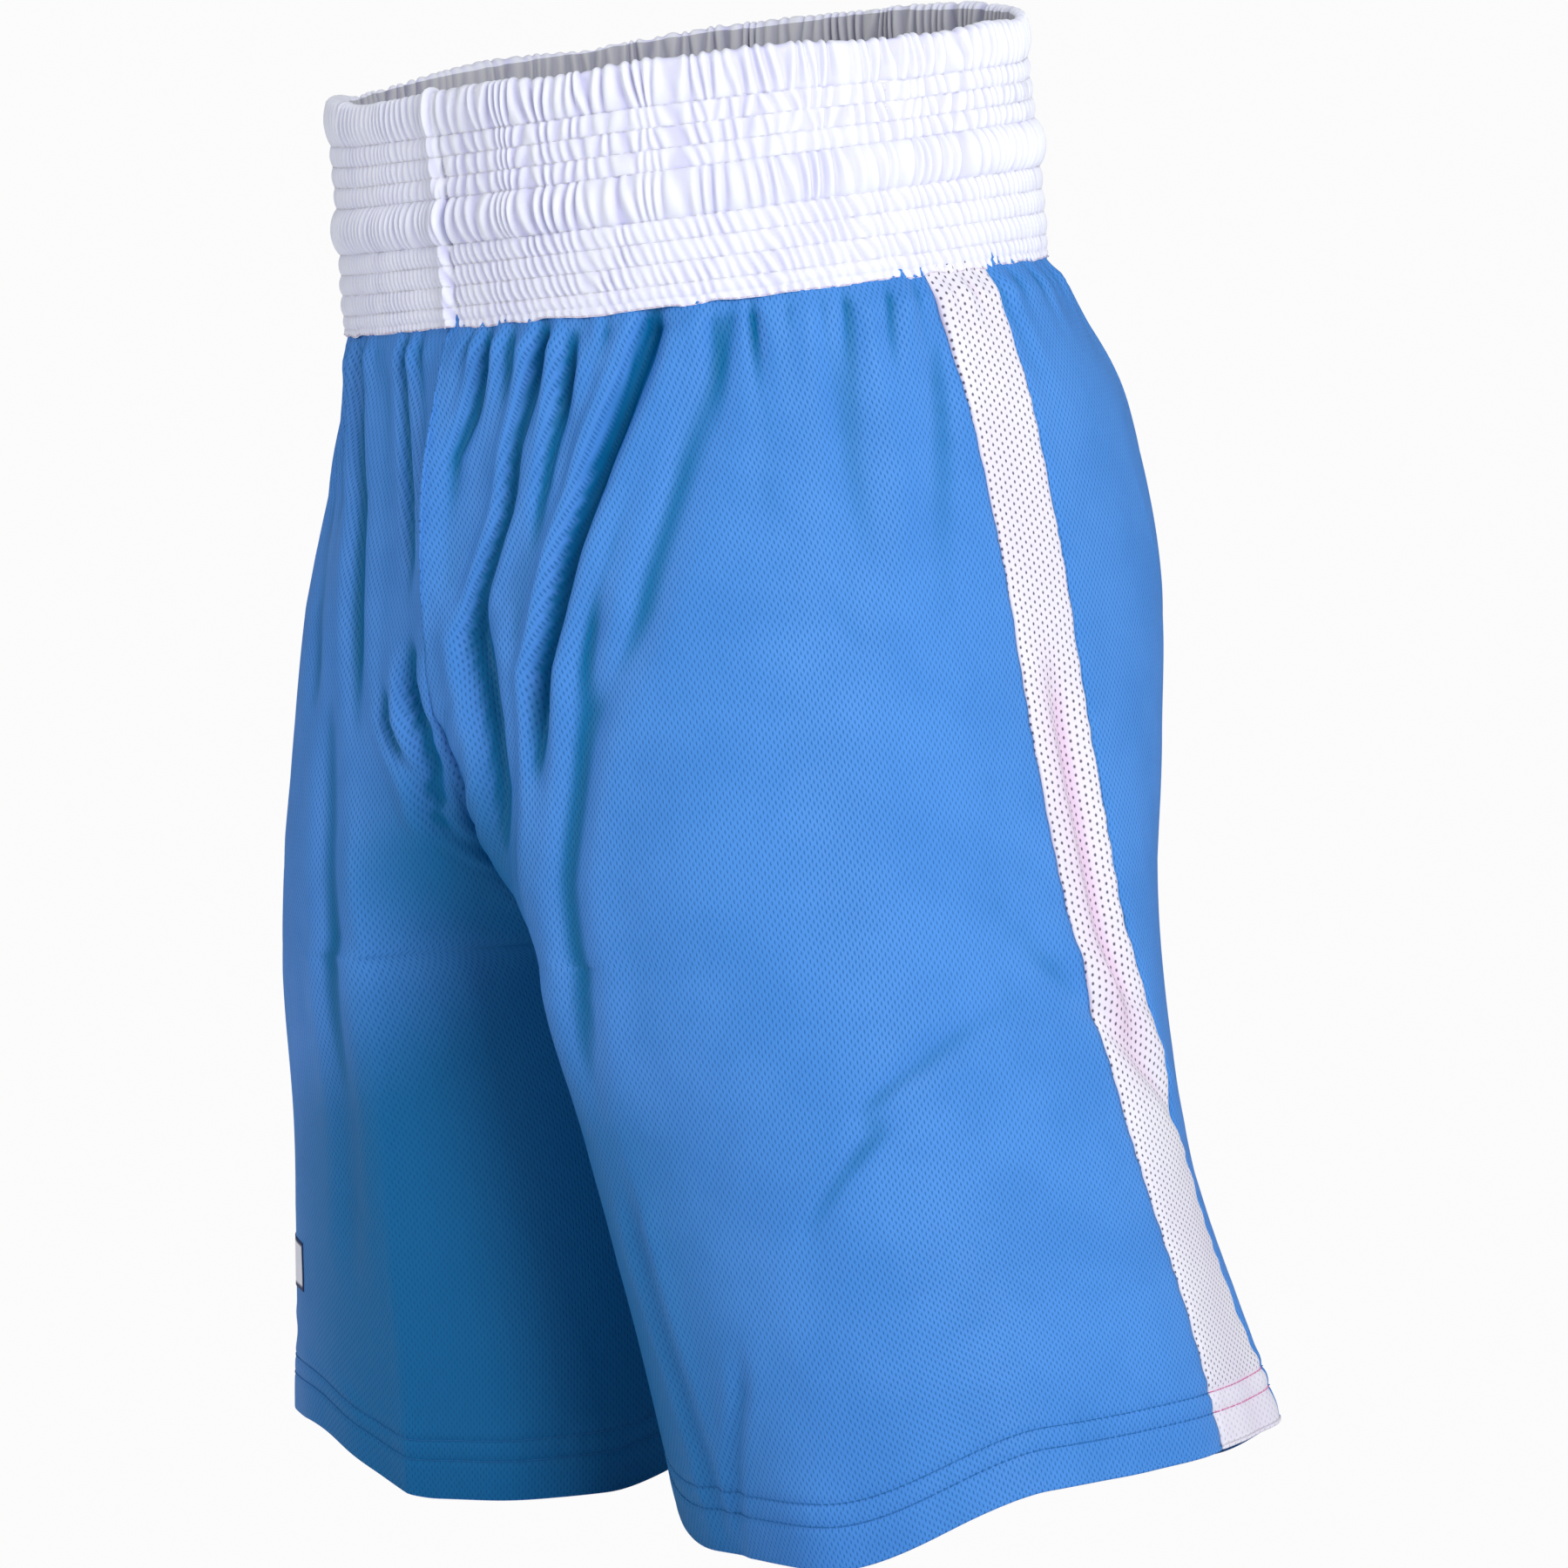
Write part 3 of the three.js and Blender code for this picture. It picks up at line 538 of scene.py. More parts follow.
def hemmed(moved, normal, uv):
    """The same grid with the cloth turned under at the hem: round the lower edge and up inside."""
    rows = int(np.searchsorted(ROWS, HEM_DEPTH))
    gap = 1.15
    inner = moved[rows::-1] - normal[rows::-1] * gap
    edge_n = normal[0]
    turn = np.linspace(0, math.pi, 7)[1:-1][::-1]
    centre = moved[0] - edge_n * gap / 2
    down = np.array([0, 0, -1.0])
    bend = [centre + edge_n * math.cos(a) * gap / 2 + down * math.sin(a) * gap / 2 * 0.9 for a in turn]
    bend = np.stack(bend)
    path = np.concatenate([inner, bend, moved])
    path[..., 2] += HEM_LIFT
    flat = np.concatenate([np.stack([uv[rows::-1, :, 0], -uv[rows::-1, :, 1]], -1),
                           np.stack([np.stack([uv[0, :, 0], 0 * uv[0, :, 0]], -1)] * 5), uv])
    return path, flat


def area_of(grid):
    """The area of a grid of points in millimetres, in square metres."""
    corner = grid[:-1, :-1]
    return np.linalg.norm(np.cross(grid[1:, :-1] - corner, grid[:-1, 1:] - corner), axis=2).sum() / 1e6


def mesh_from_grid(name, grid, uv, hand="left", closed=False, thick=0.0, values=None):
    """A mesh object of a grid of points in millimetres, mirrored for the right hand."""
    rows, columns = grid.shape[:2]
    points = grid.reshape(-1, 3) / 1000.0
    points[:, 1] -= MIDDLE_Y / 1000.0
    if hand == "right":
        points[:, 0] *= -1
    i = np.arange(rows - 1)[:, None] * columns
    j = np.arange(columns if closed else columns - 1)[None, :]
    k = (j + 1) % columns
    quads = np.stack([i + j, i + k, i + columns + k, i + columns + j], -1).reshape(-1, 4)
    if hand == "right":
        quads = quads[:, ::-1]
    mesh = bpy.data.meshes.new(name)
    mesh.vertices.add(len(points))
    mesh.vertices.foreach_set("co", points.ravel())
    mesh.loops.add(quads.size)
    mesh.loops.foreach_set("vertex_index", quads.ravel())
    mesh.polygons.add(len(quads))
    mesh.polygons.foreach_set("loop_start", np.arange(0, quads.size, 4))
    mesh.polygons.foreach_set("loop_total", np.full(len(quads), 4))
    mesh.polygons.foreach_set("use_smooth", np.ones(len(quads), bool))
    mesh.update(calc_edges=True)
    layer = mesh.uv_layers.new(name="pattern")
    flat = (uv.reshape(-1, 2) / 1000.0)[quads.ravel()]
    layer.data.foreach_set("uv", flat.ravel())
    # values become the deep attribute, which the materials read for painted shade and painted highlight on the cloth,
    # and for the border of the patch
    if values is not None:
        deep = mesh.attributes.new("deep", "FLOAT", "POINT")
        deep.data.foreach_set("value", values.ravel())
    mesh.validate()
    obj = bpy.data.objects.new(name, mesh)
    bpy.context.scene.collection.objects.link(obj)
    if thick:
        solid = obj.modifiers.new("cloth", "SOLIDIFY")
        solid.thickness = thick / 1000.0
        solid.offset = -1
    return obj


def put(obj, material, slot, *nodes):
    """Gives a piece its material, its body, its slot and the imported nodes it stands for."""
    obj.data.materials.append(material)
    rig.ride(obj, "root")
    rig.slot(obj, slot)
    if nodes:
        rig.replaces(obj, *nodes)
    return obj


# Materials: a small kit of node helpers, the shared weaves, and one material for each slot.
def tree(kind, name):
    """An empty node tree of a material or of a shared group."""
    if kind == "group":
        return bpy.data.node_groups.new(name, "ShaderNodeTree")
    material = bpy.data.materials.new(name)
    material.use_nodes = True
    material.node_tree.nodes.clear()
    return material


def node(t, kind, inputs=(), **settings):
    """A node with its settings, its inputs joined to sockets or set to plain values."""
    n = t.nodes.new(kind)
    for key, value in settings.items():
        setattr(n, key, value)
    for key, value in dict(inputs).items():
        if isinstance(value, bpy.types.NodeSocket):
            t.links.new(value, n.inputs[key])
        else:
            n.inputs[key].default_value = value
    return n


def maths(t, operation, a, b=0.0, c=0.0):
    """The output of one Math node."""
    return node(t, "ShaderNodeMath", {0: a, 1: b, 2: c}, operation=operation).outputs[0]


def mixed(t, factor, a, b):
    """Colour a turned into colour b by the factor."""
    return node(t, "ShaderNodeMix", {0: factor, 6: a, 7: b}, data_type="RGBA").outputs[2]


def ramp(t, value, low, high, to_low=0.0, to_high=1.0):
    return node(t, "ShaderNodeMapRange", {0: value, 1: low, 2: high, 3: to_low, 4: to_high},
                interpolation_type="SMOOTHSTEP").outputs[0]


def hole_group():
    """Staggered oval holes: a mask that is 1 in a hole, from pattern coordinates in metres, the pitch
    across and down, and the hole's half width and half height. The holes of every other row are
    shifted by half a pitch, so the mask is the larger of two square lattices."""
    g = tree("group", "staggered ovals")
    for name in ("Across", "Down", "Pitch across", "Pitch down", "Half width", "Half height", "Softness"):
        g.interface.new_socket(name=name, in_out="INPUT", socket_type="NodeSocketFloat")
    g.interface.new_socket(name="Mask", in_out="OUTPUT", socket_type="NodeSocketFloat")
    i = node(g, "NodeGroupInput").outputs
    masks = []
    for shift in (0.0, 0.5):
        offs = []
        for value, pitch, half in ((i[0], i[2], i[4]), (i[1], i[3], i[5])):
            cell = maths(g, "ADD", maths(g, "DIVIDE", value, pitch), shift)
            part = maths(g, "SUBTRACT", maths(g, "FRACT", maths(g, "ADD", cell, 500.0)), 0.5)
            offs.append(maths(g, "DIVIDE", maths(g, "MULTIPLY", part, pitch), half))
        round_ = maths(g, "SQRT", maths(g, "ADD", maths(g, "MULTIPLY", offs[0], offs[0]),
                                        maths(g, "MULTIPLY", offs[1], offs[1])))
        low = maths(g, "SUBTRACT", 1.0, i[6])
        high = maths(g, "ADD", 1.0, i[6])
        edge = node(g, "ShaderNodeMapRange", {0: round_, 1: low, 2: high, 3: 1.0, 4: 0.0})
        masks.append(edge.outputs[0])
    out = node(g, "NodeGroupOutput")
    g.links.new(maths(g, "MAXIMUM", masks[0], masks[1]), out.inputs[0])
    return g


HOLES = hole_group()


def pattern(t, wobble=0.0):
    """The cloth's own coordinates in metres, a little uneven as a knit is."""
    uv = node(t, "ShaderNodeUVMap", uv_map="pattern").outputs[0]
    if wobble:
        noise = node(t, "ShaderNodeTexNoise", {"Vector": uv, "Scale": 45.0, "Detail": 1.0})
        off = node(t, "ShaderNodeVectorMath", {0: noise.outputs["Color"], 1: (0.5, 0.5, 0.5)},
                   operation="SUBTRACT").outputs[0]
        scaled = node(t, "ShaderNodeVectorMath", {0: off, "Scale": wobble}, operation="SCALE").outputs[0]
        uv = node(t, "ShaderNodeVectorMath", {0: uv, 1: scaled}, operation="ADD").outputs[0]
    xyz = node(t, "ShaderNodeSeparateXYZ", {0: uv})
    return uv, xyz.outputs[0], xyz.outputs[1]


def ovals(t, across, down, pitch, half, softness=0.25):
    """The mask of a lattice of staggered ovals."""
    values = (across, down, *pitch, *half, softness)
    return node(t, "ShaderNodeGroup", dict(enumerate(values)), node_tree=HOLES).outputs[0]


def finish_material(material, colour, roughness, bump=None, strength=0.5, distance=0.0003,
                    sheen=0.0, specular=0.4, tint=None):
    """Joins the colour, roughness and bump to the material's shader, and the shader to its output."""
    t = material.node_tree
    inputs = {"Base Color": colour, "Roughness": roughness}
    if bump is not None:
        inputs["Normal"] = node(t, "ShaderNodeBump", {"Height": bump, "Strength": strength,
                                                      "Distance": distance}).outputs[0]
    shader = node(t, "ShaderNodeBsdfPrincipled", inputs)
    shader.inputs["Sheen Weight"].default_value = sheen
    shader.inputs["Sheen Roughness"].default_value = 0.4
    shader.inputs["Specular IOR Level"].default_value = specular
    shader.inputs["Specular Tint"].default_value = tint or (1, 1, 1, 1)
    out = node(t, "ShaderNodeOutputMaterial")
    t.links.new(shader.outputs[0], out.inputs[0])
    return material


def blue_cloth():
    """A blue bird's-eye knit: small dark upright dashes in a staggered lattice on a slightly shiny ground, with
    painted shade in the fold valleys and on the inner side of the legs and a painted highlight on the fold ridges,
    from the deep attribute.
    """
    m = tree("material", "blue bird's-eye knit")
    t = m.node_tree
    uv, across, down = pattern(t, 0.0006)
    dash = ovals(t, across, down, (0.0024, 0.0030), (0.00024, 0.00072), 0.5)
    fine = ovals(t, across, down, (0.00075, 0.00085), (0.00022, 0.00024), 0.6)
    noise = node(t, "ShaderNodeTexNoise", {"Vector": uv, "Scale": 26.0, "Detail": 3.0}).outputs[0]
    deep = node(t, "ShaderNodeAttribute", attribute_name="deep").outputs["Fac"]
    ground = mixed(t, ramp(t, noise, 0.3, 0.7), (0.058, 0.232, 0.635, 1), (0.070, 0.258, 0.685, 1))
    # painted shade: dark teal where the deep attribute is high, in the fold valleys and on the inner legs
    ground = mixed(t, deep, ground, (0.000, 0.130, 0.320, 1))
    # painted highlight: a lighter blue where the deep attribute falls below zero, on the fold ridges
    ground = mixed(t, maths(t, "MULTIPLY", deep, -0.55), ground, (0.110, 0.330, 0.800, 1))
    colour = mixed(t, maths(t, "MULTIPLY", dash, 0.56), ground, (0.002, 0.070, 0.240, 1))
    height = maths(t, "ADD", maths(t, "MULTIPLY", dash, -1.0), maths(t, "MULTIPLY", fine, 0.18))
    rough = maths(t, "ADD", 0.46, maths(t, "MULTIPLY", dash, 0.25))
    return finish_material(m, colour, rough, height, 0.6, 0.00025, sheen=0.0, specular=0.17,
                           tint=(0.75, 0.92, 1.0, 1))


def side_mesh():
    """A white mesh with staggered oval holes painted near black for the shade seen through them, fainter where the hem
    doubles the cloth, and with a pink-tinted painted shade in its folds and along its tuck.
    """
    m = tree("material", "white mesh")
    t = m.node_tree
    uv, across, down = pattern(t, 0.0005)
    hole = ovals(t, across, down, (0.0047, 0.00305), (0.00043, 0.00060), 0.35)
    deep = node(t, "ShaderNodeAttribute", attribute_name="deep").outputs["Fac"]
    noise = node(t, "ShaderNodeTexNoise", {"Vector": uv, "Scale": 18.0, "Detail": 2.0}).outputs[0]
    ground = mixed(t, ramp(t, noise, 0.35, 0.7), (0.765, 0.755, 0.83, 1), (0.73, 0.70, 0.81, 1))
    # painted shade, pink-tinted, where the deep attribute is high: in the folds and along the tuck
    ground = mixed(t, deep, ground, (0.70, 0.54, 0.70, 1))
    # painted shade in the holes: near black, for the shade inside that shows through them, fainter below 24.5 mm of
    # the pattern where the hem doubles the cloth
    doubled = maths(t, "GREATER_THAN", 0.0245, down)
    strength = maths(t, "SUBTRACT", 0.93, maths(t, "MULTIPLY", doubled, 0.62))
    colour = mixed(t, maths(t, "MULTIPLY", hole, strength), ground, (0.040, 0.025, 0.070, 1))
    return finish_material(m, colour, 0.55, hole, -0.5, 0.0003, sheen=0.2, specular=0.3)


def shirred(name, light, dark):
    """White satin of the waistband, with a close cross rib and a lavender painted shade in the valleys of its pleats.
    """
    m = tree("material", name)
    t = m.node_tree
    uv, across, down = pattern(t)
    rib = maths(t, "SINE", maths(t, "MULTIPLY", down, 2 * math.pi / 0.0006))
    fibre = node(t, "ShaderNodeTexNoise", {"Vector": uv, "Scale": 900.0, "Detail": 2.0}).outputs[0]
    deep = node(t, "ShaderNodeAttribute", attribute_name="deep").outputs["Fac"]
    # painted shade: the dark colour where the deep attribute marks the valleys of the pleats
    colour = mixed(t, deep, light, dark)
    height = maths(t, "ADD", maths(t, "MULTIPLY", rib, 0.3), fibre)
    return finish_material(m, colour, 0.5, height, 0.22, 0.00012, sheen=0.25, specular=0.35)


def thread(name, colour):
    """A smooth twisted thread."""
    m = tree("material", name)
    t = m.node_tree
    where = node(t, "ShaderNodeTexCoord").outputs["Object"]
    noise = node(t, "ShaderNodeTexNoise", {"Vector": where, "Scale": 700.0, "Detail": 2.0}).outputs[0]
    darker = tuple(0.7 * c for c in colour[:3]) + (1,)
    return finish_material(m, mixed(t, noise, darker, colour), 0.5, noise, 0.3, 0.0001, specular=0.4)


def webbing():
    """Grey-white knitted elastic, ribbed along its length."""
    m = tree("material", "knitted elastic")
    t = m.node_tree
    where = node(t, "ShaderNodeTexCoord").outputs["Object"]
    z = node(t, "ShaderNodeSeparateXYZ", {0: where}).outputs[2]
    rib = maths(t, "SINE", maths(t, "MULTIPLY", z, 2 * math.pi / 0.0012))
    colour = mixed(t, maths(t, "MULTIPLY_ADD", rib, 0.5, 0.5), (0.62, 0.61, 0.63, 1), (0.80, 0.79, 0.81, 1))
    return finish_material(m, colour, 0.65, rib, 0.4, 0.0002)


def plain(name, light, dark, edge=None):
    """A close plain weave, with a darker border near the edge of the pattern where one is asked for."""
    m = tree("material", name)
    t = m.node_tree
    uv, across, down = pattern(t)
    one = maths(t, "SINE", maths(t, "MULTIPLY", across, 2 * math.pi / 0.0005))
    two = maths(t, "SINE", maths(t, "MULTIPLY", down, 2 * math.pi / 0.0005))
    weave = maths(t, "MULTIPLY", one, two)
    colour = mixed(t, maths(t, "MULTIPLY_ADD", weave, 0.5, 0.5), dark, light)
    if edge:
        border = node(t, "ShaderNodeAttribute", attribute_name="deep").outputs["Fac"]
        colour = mixed(t, border, colour, edge)
    return finish_material(m, colour, 0.6, weave, 0.3, 0.0001)


BLUE = blue_cloth()
MESH = side_mesh()
BAND_WHITE = shirred("shirred white cloth", (0.815, 0.835, 0.92, 1), (0.64, 0.64, 0.88, 1))
# the inside walls of the band: the band's white satin darkened all over to grey, a painted shade for the shade inside
# the band
BAND_INSIDE_PAINTED_SHADE = shirred("lining of the band", (0.50, 0.505, 0.54, 1), (0.30, 0.30, 0.40, 1))
BLUE_THREAD = thread("blue thread", (0.008, 0.170, 0.480, 1))
WHITE_THREAD = thread("white thread", (0.80, 0.79, 0.84, 1))
PINK_THREAD = thread("pink thread", (0.78, 0.16, 0.42, 1))
PALE_PINK = thread("pale pink thread", (0.80, 0.66, 0.76, 1))
WEBBING = webbing()
LABEL = plain("woven label", (0.82, 0.82, 0.82, 1), (0.74, 0.74, 0.75, 1))
PATCH = plain("patch", (0.82, 0.83, 0.88, 1), (0.76, 0.77, 0.84, 1), (0.010, 0.020, 0.090, 1))


# The body: three panels for each hand, with the hem turned up inside each.
COLUMNS = {"front": 150, "side": 26, "back": 150}
FLAT = {}
GRIDS = {}


def depth_mask(d, window=10):
    """How far the cloth lies below its surroundings on either side, from 0 to 1, less up to 0.8 where it stands
    above them: the mask of the painted shade in the fold valleys and of the painted highlight on their ridges.
    """
    kernel = np.hanning(2 * window + 3)[1:-1]
    kernel /= kernel.sum()
    half = len(kernel) // 2
    wide = np.pad(d, ((0, 0), (half, half)), mode="edge")
    around = sum(k * wide[:, i:i + d.shape[1]] for i, k in enumerate(kernel))
    return smooth(0.05, 1.7, around - d) - 0.8 * smooth(0.15, 1.8, d - around)


def add_panels(hand):
    """The three panels of one hand. Their deep mask, from the depth of the folds, is painted shade in the fold
    valleys and a painted highlight on their ridges, with a wide soft band of painted shade along the side
    panel's tuck, and with a painted shade on the inner side of the leg that stands for the shadow there."""
    for which in ("front", "side", "back"):
        moved, normal, uv, d = cloth_grid(hand, which, COLUMNS[which])
        GRIDS[hand, which] = (moved, normal, uv)
        z = ROWS[:, None]
        # painted shade in the fold valleys and painted highlight on their ridges, fainter lower down the leg
        deep = depth_mask(d) * (0.45 + 0.55 * smooth(90, 230, z))
        if which == "side":
            # painted shade: a wide soft band down the side panel's lengthwise tuck
            across = np.linspace(0, 1, deep.shape[1])[None, :]
            crease = hump(across, 0.42, 0.24) * smooth(140, 180, z) * (1 - smooth(270, 330, z))
            deep = np.maximum(deep, 0.85 * crease)
        else:
            # painted shadow on the inner side of the leg, reaching further across the right leg
            inward = np.linspace(0, 1, deep.shape[1])
            inward = inward[None, ::-1] if which == "back" else inward[None, :]
            more = 0.12 * (1 - smooth(110, 220, z)) if hand == "right" else 0.0
            begins = np.interp(z, [150, 265], [0.30, 0.04]) + more
            ends = np.interp(z, [150, 265], [0.62, 0.26]) + more
            shade = 0.9 * (1 - smooth(0, 1, (inward - begins) / (ends - begins)))
            shade = shade * (1 - smooth(245, 300, z))
            deep = np.maximum(deep, shade)
        path, flat = hemmed(moved, normal, uv)
        extra = len(path) - len(moved)
        values = np.concatenate([np.zeros((extra, deep.shape[1])), deep])
        obj = mesh_from_grid("cloth_%s_panel_%s" % (which, hand), path, flat, hand, thick=0.5, values=values)
        blue = which != "side"
        put(obj, BLUE if blue else MESH, "body_cloth" if blue else "side_mesh", "%s_panel_%s" % (which, hand))
        wide = max(np.linalg.norm(np.diff(moved[r], axis=0), axis=1).sum() for r in (5, 90, 108, 220))
        steps = np.linalg.norm(np.diff(path, axis=0), axis=2).sum(0)
        FLAT[which, hand] = (float(wide) / 1000, float(steps.max()) / 1000, float(area_of(path)))


for hand in ("left", "right"):
    add_panels(hand)


# The waistband: a ring of cloth shirred on six elastics, gathered row by row.
ROW_EDGES = (0, 3, 8, 16, 24, 32, 50, 58, 66, 74, BAND)
BULGE = (0.5, 0.8, 1.1, 1.2, 1.3, 3.9, 1.2, 1.0, 1.0, 2.5)
BAND_INSET = 5.0
PUFFED, HEADER = 5, 9


def ring(lift, count):
    """Points round the band, with the walked length of each and the outward normal in plan.
    The first point lies at the centre front, and the ring runs over the wearer's left side first."""
    z = np.array([BODY, BODY + BAND])
    points, walked = outlines(z)
    t = np.linspace(0, 1, 700)
    half = np.stack([at_places(t * walked[i, -1], walked[i], points[i]) for i in (0, 1)])
    half[..., 0] = np.where(half[..., 0] < 0.4, 0.0, half[..., 0])
    mirrored = half[:, ::-1].copy()
    mirrored[..., 0] *= -1
    loop = np.concatenate([half[:, :-1], mirrored[:, :-1], half[:, :1]], 1)
    length = np.concatenate([[0], np.cumsum(np.linalg.norm(np.diff(loop[0], axis=0), axis=1))])
    s = np.linspace(0, length[-1], count + 1)[:-1]
    up = np.clip(lift / BAND, 0, 1)[:, None, None]
    rows = [at_places(s, length, loop[i]) for i in (0, 1)]
    plan = rows[0][None] * (1 - up) + rows[1][None] * up
    along = np.roll(plan, -3, 1) - np.roll(plan, 3, 1)
    along = unit(along)
    out = np.stack([along[..., 1], -along[..., 0]], -1)
    kernel = np.hanning(61)
    kernel /= kernel.sum()
    soft = unit(sum(k * np.roll(out, i - 30, 1) for i, k in enumerate(kernel)))
    y = plan[..., 1]
    z = BODY + lift[:, None] + TILT * y + (TOP_TILT - TILT) * lift[:, None] / BAND * y
    return plan, soft, z, s, length[-1]


def band_shape(lift, count, inside=False):
    """Each row bulges between its two stitch lines and is puckered across: the pleats are sharp valleys
    between round ridges, a little uneven, and shallow at the stitches."""
    plan, out, z, s, total = ring(lift, count)
    row = np.clip(np.searchsorted(ROW_EDGES, lift, side="right") - 1, 0, len(BULGE) - 1)
    edges = np.array(ROW_EDGES, float)
    low, high = edges[row], edges[row + 1]
    v = (lift - low) / (high - low)
    stand = np.zeros((len(lift), count))
    valley = np.zeros_like(stand)
    for r in range(len(BULGE)):
        at = np.nonzero(row == r)[0]
        if not len(at):
            continue
        t = v[at][:, None]
        header = r == HEADER
        upper = r >= PUFFED
        pitch = 5.4 if upper else 4.3
        closer = 1 + 0.55 * smooth(total - 95, total - 50, s)
        walked = np.cumsum(closer) - closer[0]
        cycles = (walked / (walked[-1] + closer[-1]) * round(total * closer.mean() / pitch))[None, :]
        bent = (0.30 * wander(s, 130 + r, 6.0, total) * 2)[None, :] * (t - 0.5)
        if upper:
            jitter = 0.62 * wander(s, 100, 11.0, total)
            jitter = jitter + (0.10 if header else 0.24) * wander(s, 110 + r, 7.0, total)
            slope = 0.06
        else:
            jitter = 0.30 * wander(s, 102, 9.0, total) + 0.18 * wander(s, 120 + r, 8.0, total)
            slope = 0.40
        near = 1 - 0.40 * smooth(total - 90, total - 8, s)
        lean = slope * (lift[at] - 30)[:, None] / pitch
        phase = cycles + jitter[None, :] + lean + (bent if upper else 0.4 * bent)
        wave = (1 - np.abs(np.cos(math.pi * phase)) ** 2.2) ** 1.1
        size = 0.86 + 0.34 * wander(s, 200 + r // 3, 6.5, total) + 0.20 * wander(s, 250 + r, 31.0, total)
        size = np.clip(size, 0.3, 1.4) * near
        if header:
            body = np.sin(math.pi * np.clip(t * 0.86, 0, 1)) ** 0.6
            deep = 2.3 * size[None, :] * (0.55 + 0.45 * smooth(0, 0.35, t)) * (1 - 0.3 * smooth(0.8, 1, t))
        else:
            body = np.sin(math.pi * np.clip(t, 0, 1)) ** 0.62
            tall = 2.4 if r == PUFFED else (0.9 if r < 2 else 1.45)
            deep = tall * size[None, :] * (0.55 + 0.45 * np.sin(math.pi * t) ** 0.8)
        soft = 1 + 0.16 * wander(s, 300 + r, 42.0, total)[None, :]
        stand[at] = BULGE[r] * body * soft - deep * (1 - wave)
        # the valley mask is where the band's materials put their painted shade
        valley[at] = (1 - wave) ** 1.2 * np.clip(size, 0.2, 1.1)[None, :]
    # the join of the ring, a little to the wearer's left of the centre front
    at = -5.5 * (lift / BAND)[:, None] + 0.8 * wander(lift, 65, 11.0)[:, None]
    d = (s[None, :] - at + total / 2) % total - total / 2
    stand += 2.3 * np.exp(-(d / 2.3) ** 2) - 1.3 * np.exp(-((d - 4.2) / 1.5) ** 2)
    wave = 0.9 * np.sin(2 * math.pi * s / total * 7 + 0.6) + 0.7 * wander(s, 61, 37.0, total)
    stand += wave[None, :] * smooth(30, BAND, lift)[:, None]
    z = z + (0.7 * wander(s, 62, 21.0, total)[None, :] + 0.3 * wander(s, 63, 5.0, total)[None, :] - 3.0) \
        * smooth(BAND - 18, BAND, lift)[:, None]
    bearing = np.degrees(np.arctan2(plan[..., 0], -plan[..., 1]))
    rise = np.interp(bearing, [-180, -150, -120, -90, -60, -30, 0, 45, 70, 90, 120, 150, 180],
                     [3.7, 5.5, 7.0, 6.0, 3.0, 0.0, 0.0, 0.5, -2.0, -6.0, -7.0, -1.5, 3.7])
    z = z + rise * smooth(30, BAND + 6, lift)[:, None]
    z = z + (0.7 * wander(s, 64, 9.0, total) - 0.4)[None, :] * (1 - smooth(0, 5, lift))[:, None]
    sign = -1 if inside else 1
    inset = 3.0 if inside else 0.0
    reach = sign * stand * (0.75 if inside else 1.0) - inset - BAND_INSET
    points = np.concatenate([plan + out * reach[..., None], z[..., None]], -1)
    uv = np.stack([s[None, :] * STRETCH + 0 * z, lift[:, None] * 1.08 + 0 * z], -1)
    return points, uv, valley, total


def over_the_top(points, uv, valley, lift, count):
    """Adds the fold along the band's upper edge: a half round from the outer wall to the inner one."""
    inner, _, _, _ = band_shape(lift[-1:], count, True)
    outer = points[-1]
    middle = (outer + inner[0]) / 2
    reach = outer - middle
    high = np.linalg.norm(reach, axis=1)[:, None] * 0.8
    turn = np.linspace(0, math.pi, 8)[1:]
    fold_rows = np.stack([middle + reach * math.cos(a) + high * math.sin(a) * np.array([0, 0, 1.0])
                          for a in turn])
    more = uv[-1:] + np.stack([0 * turn, turn * 1.5], -1)[:, None, :]
    return (np.concatenate([points, fold_rows]), np.concatenate([uv, more]),
            np.concatenate([valley, np.repeat(valley[-1:], len(turn), 0)]))


def band_piece(name, lift, count, inside=False):
    """One wall of the band as a closed ring of cloth, its seam of pattern coordinates at the back."""
    points, uv, valley, total = band_shape(lift, count, inside)
    if lift[-1] == BAND and not inside:
        points, uv, valley = over_the_top(points, uv, valley, lift, count)
    turn = count // 2
    points = np.roll(points, -turn, 1)
    valley = np.roll(valley, -turn, 1)
    points = np.concatenate([points, points[:, :1]], 1)
    valley = np.concatenate([valley, valley[:, :1]], 1)
    if inside:
        points = points[::-1].copy()
        uv = uv[::-1].copy()
        valley = valley[::-1].copy()
    obj = mesh_from_grid(name, points, np.concatenate([uv, uv[:, :1] + [total * STRETCH, 0]], 1),
                         values=valley)
    return obj, area_of(points), total


def levels(low, high, per_row):
    """Heights from low to high with per_row steps in each row of stitching, closer at its ends."""
    inner = [e for e in ROW_EDGES if low <= e <= high]
    steps = [a + (b - a) * (0.5 - 0.5 * np.cos(np.linspace(0, math.pi, n + 1)[:-1]))
             for a, b, n in zip(inner[:-1], inner[1:], per_row)]
    return np.concatenate(steps + [[inner[-1]]])


BAND_AREAS = {}
for name, low, high, per_row, inside in (
        ("band_outside_lower", 0, 50, (4, 6, 8, 8, 8, 12), False),
        ("band_outside_upper", 50, BAND, (8, 8, 8, 15), False),
        ("band_inside_lower", 0, 50, (3, 5, 7, 7, 7, 10), True),
        ("band_inside_upper", 50, BAND, (7, 7, 7, 12), True)):
    count = 1400 if inside else 2000
    obj, area, total = band_piece(name, levels(low, high, per_row), count, inside)
    # the inside walls take the grey copy of the satin, in painted shade
    put(obj, BAND_INSIDE_PAINTED_SHADE if inside else BAND_WHITE, "band_cloth", "waistband_casing")
    BAND_AREAS[name] = (area, total / 1000, (high - low) / 1000)


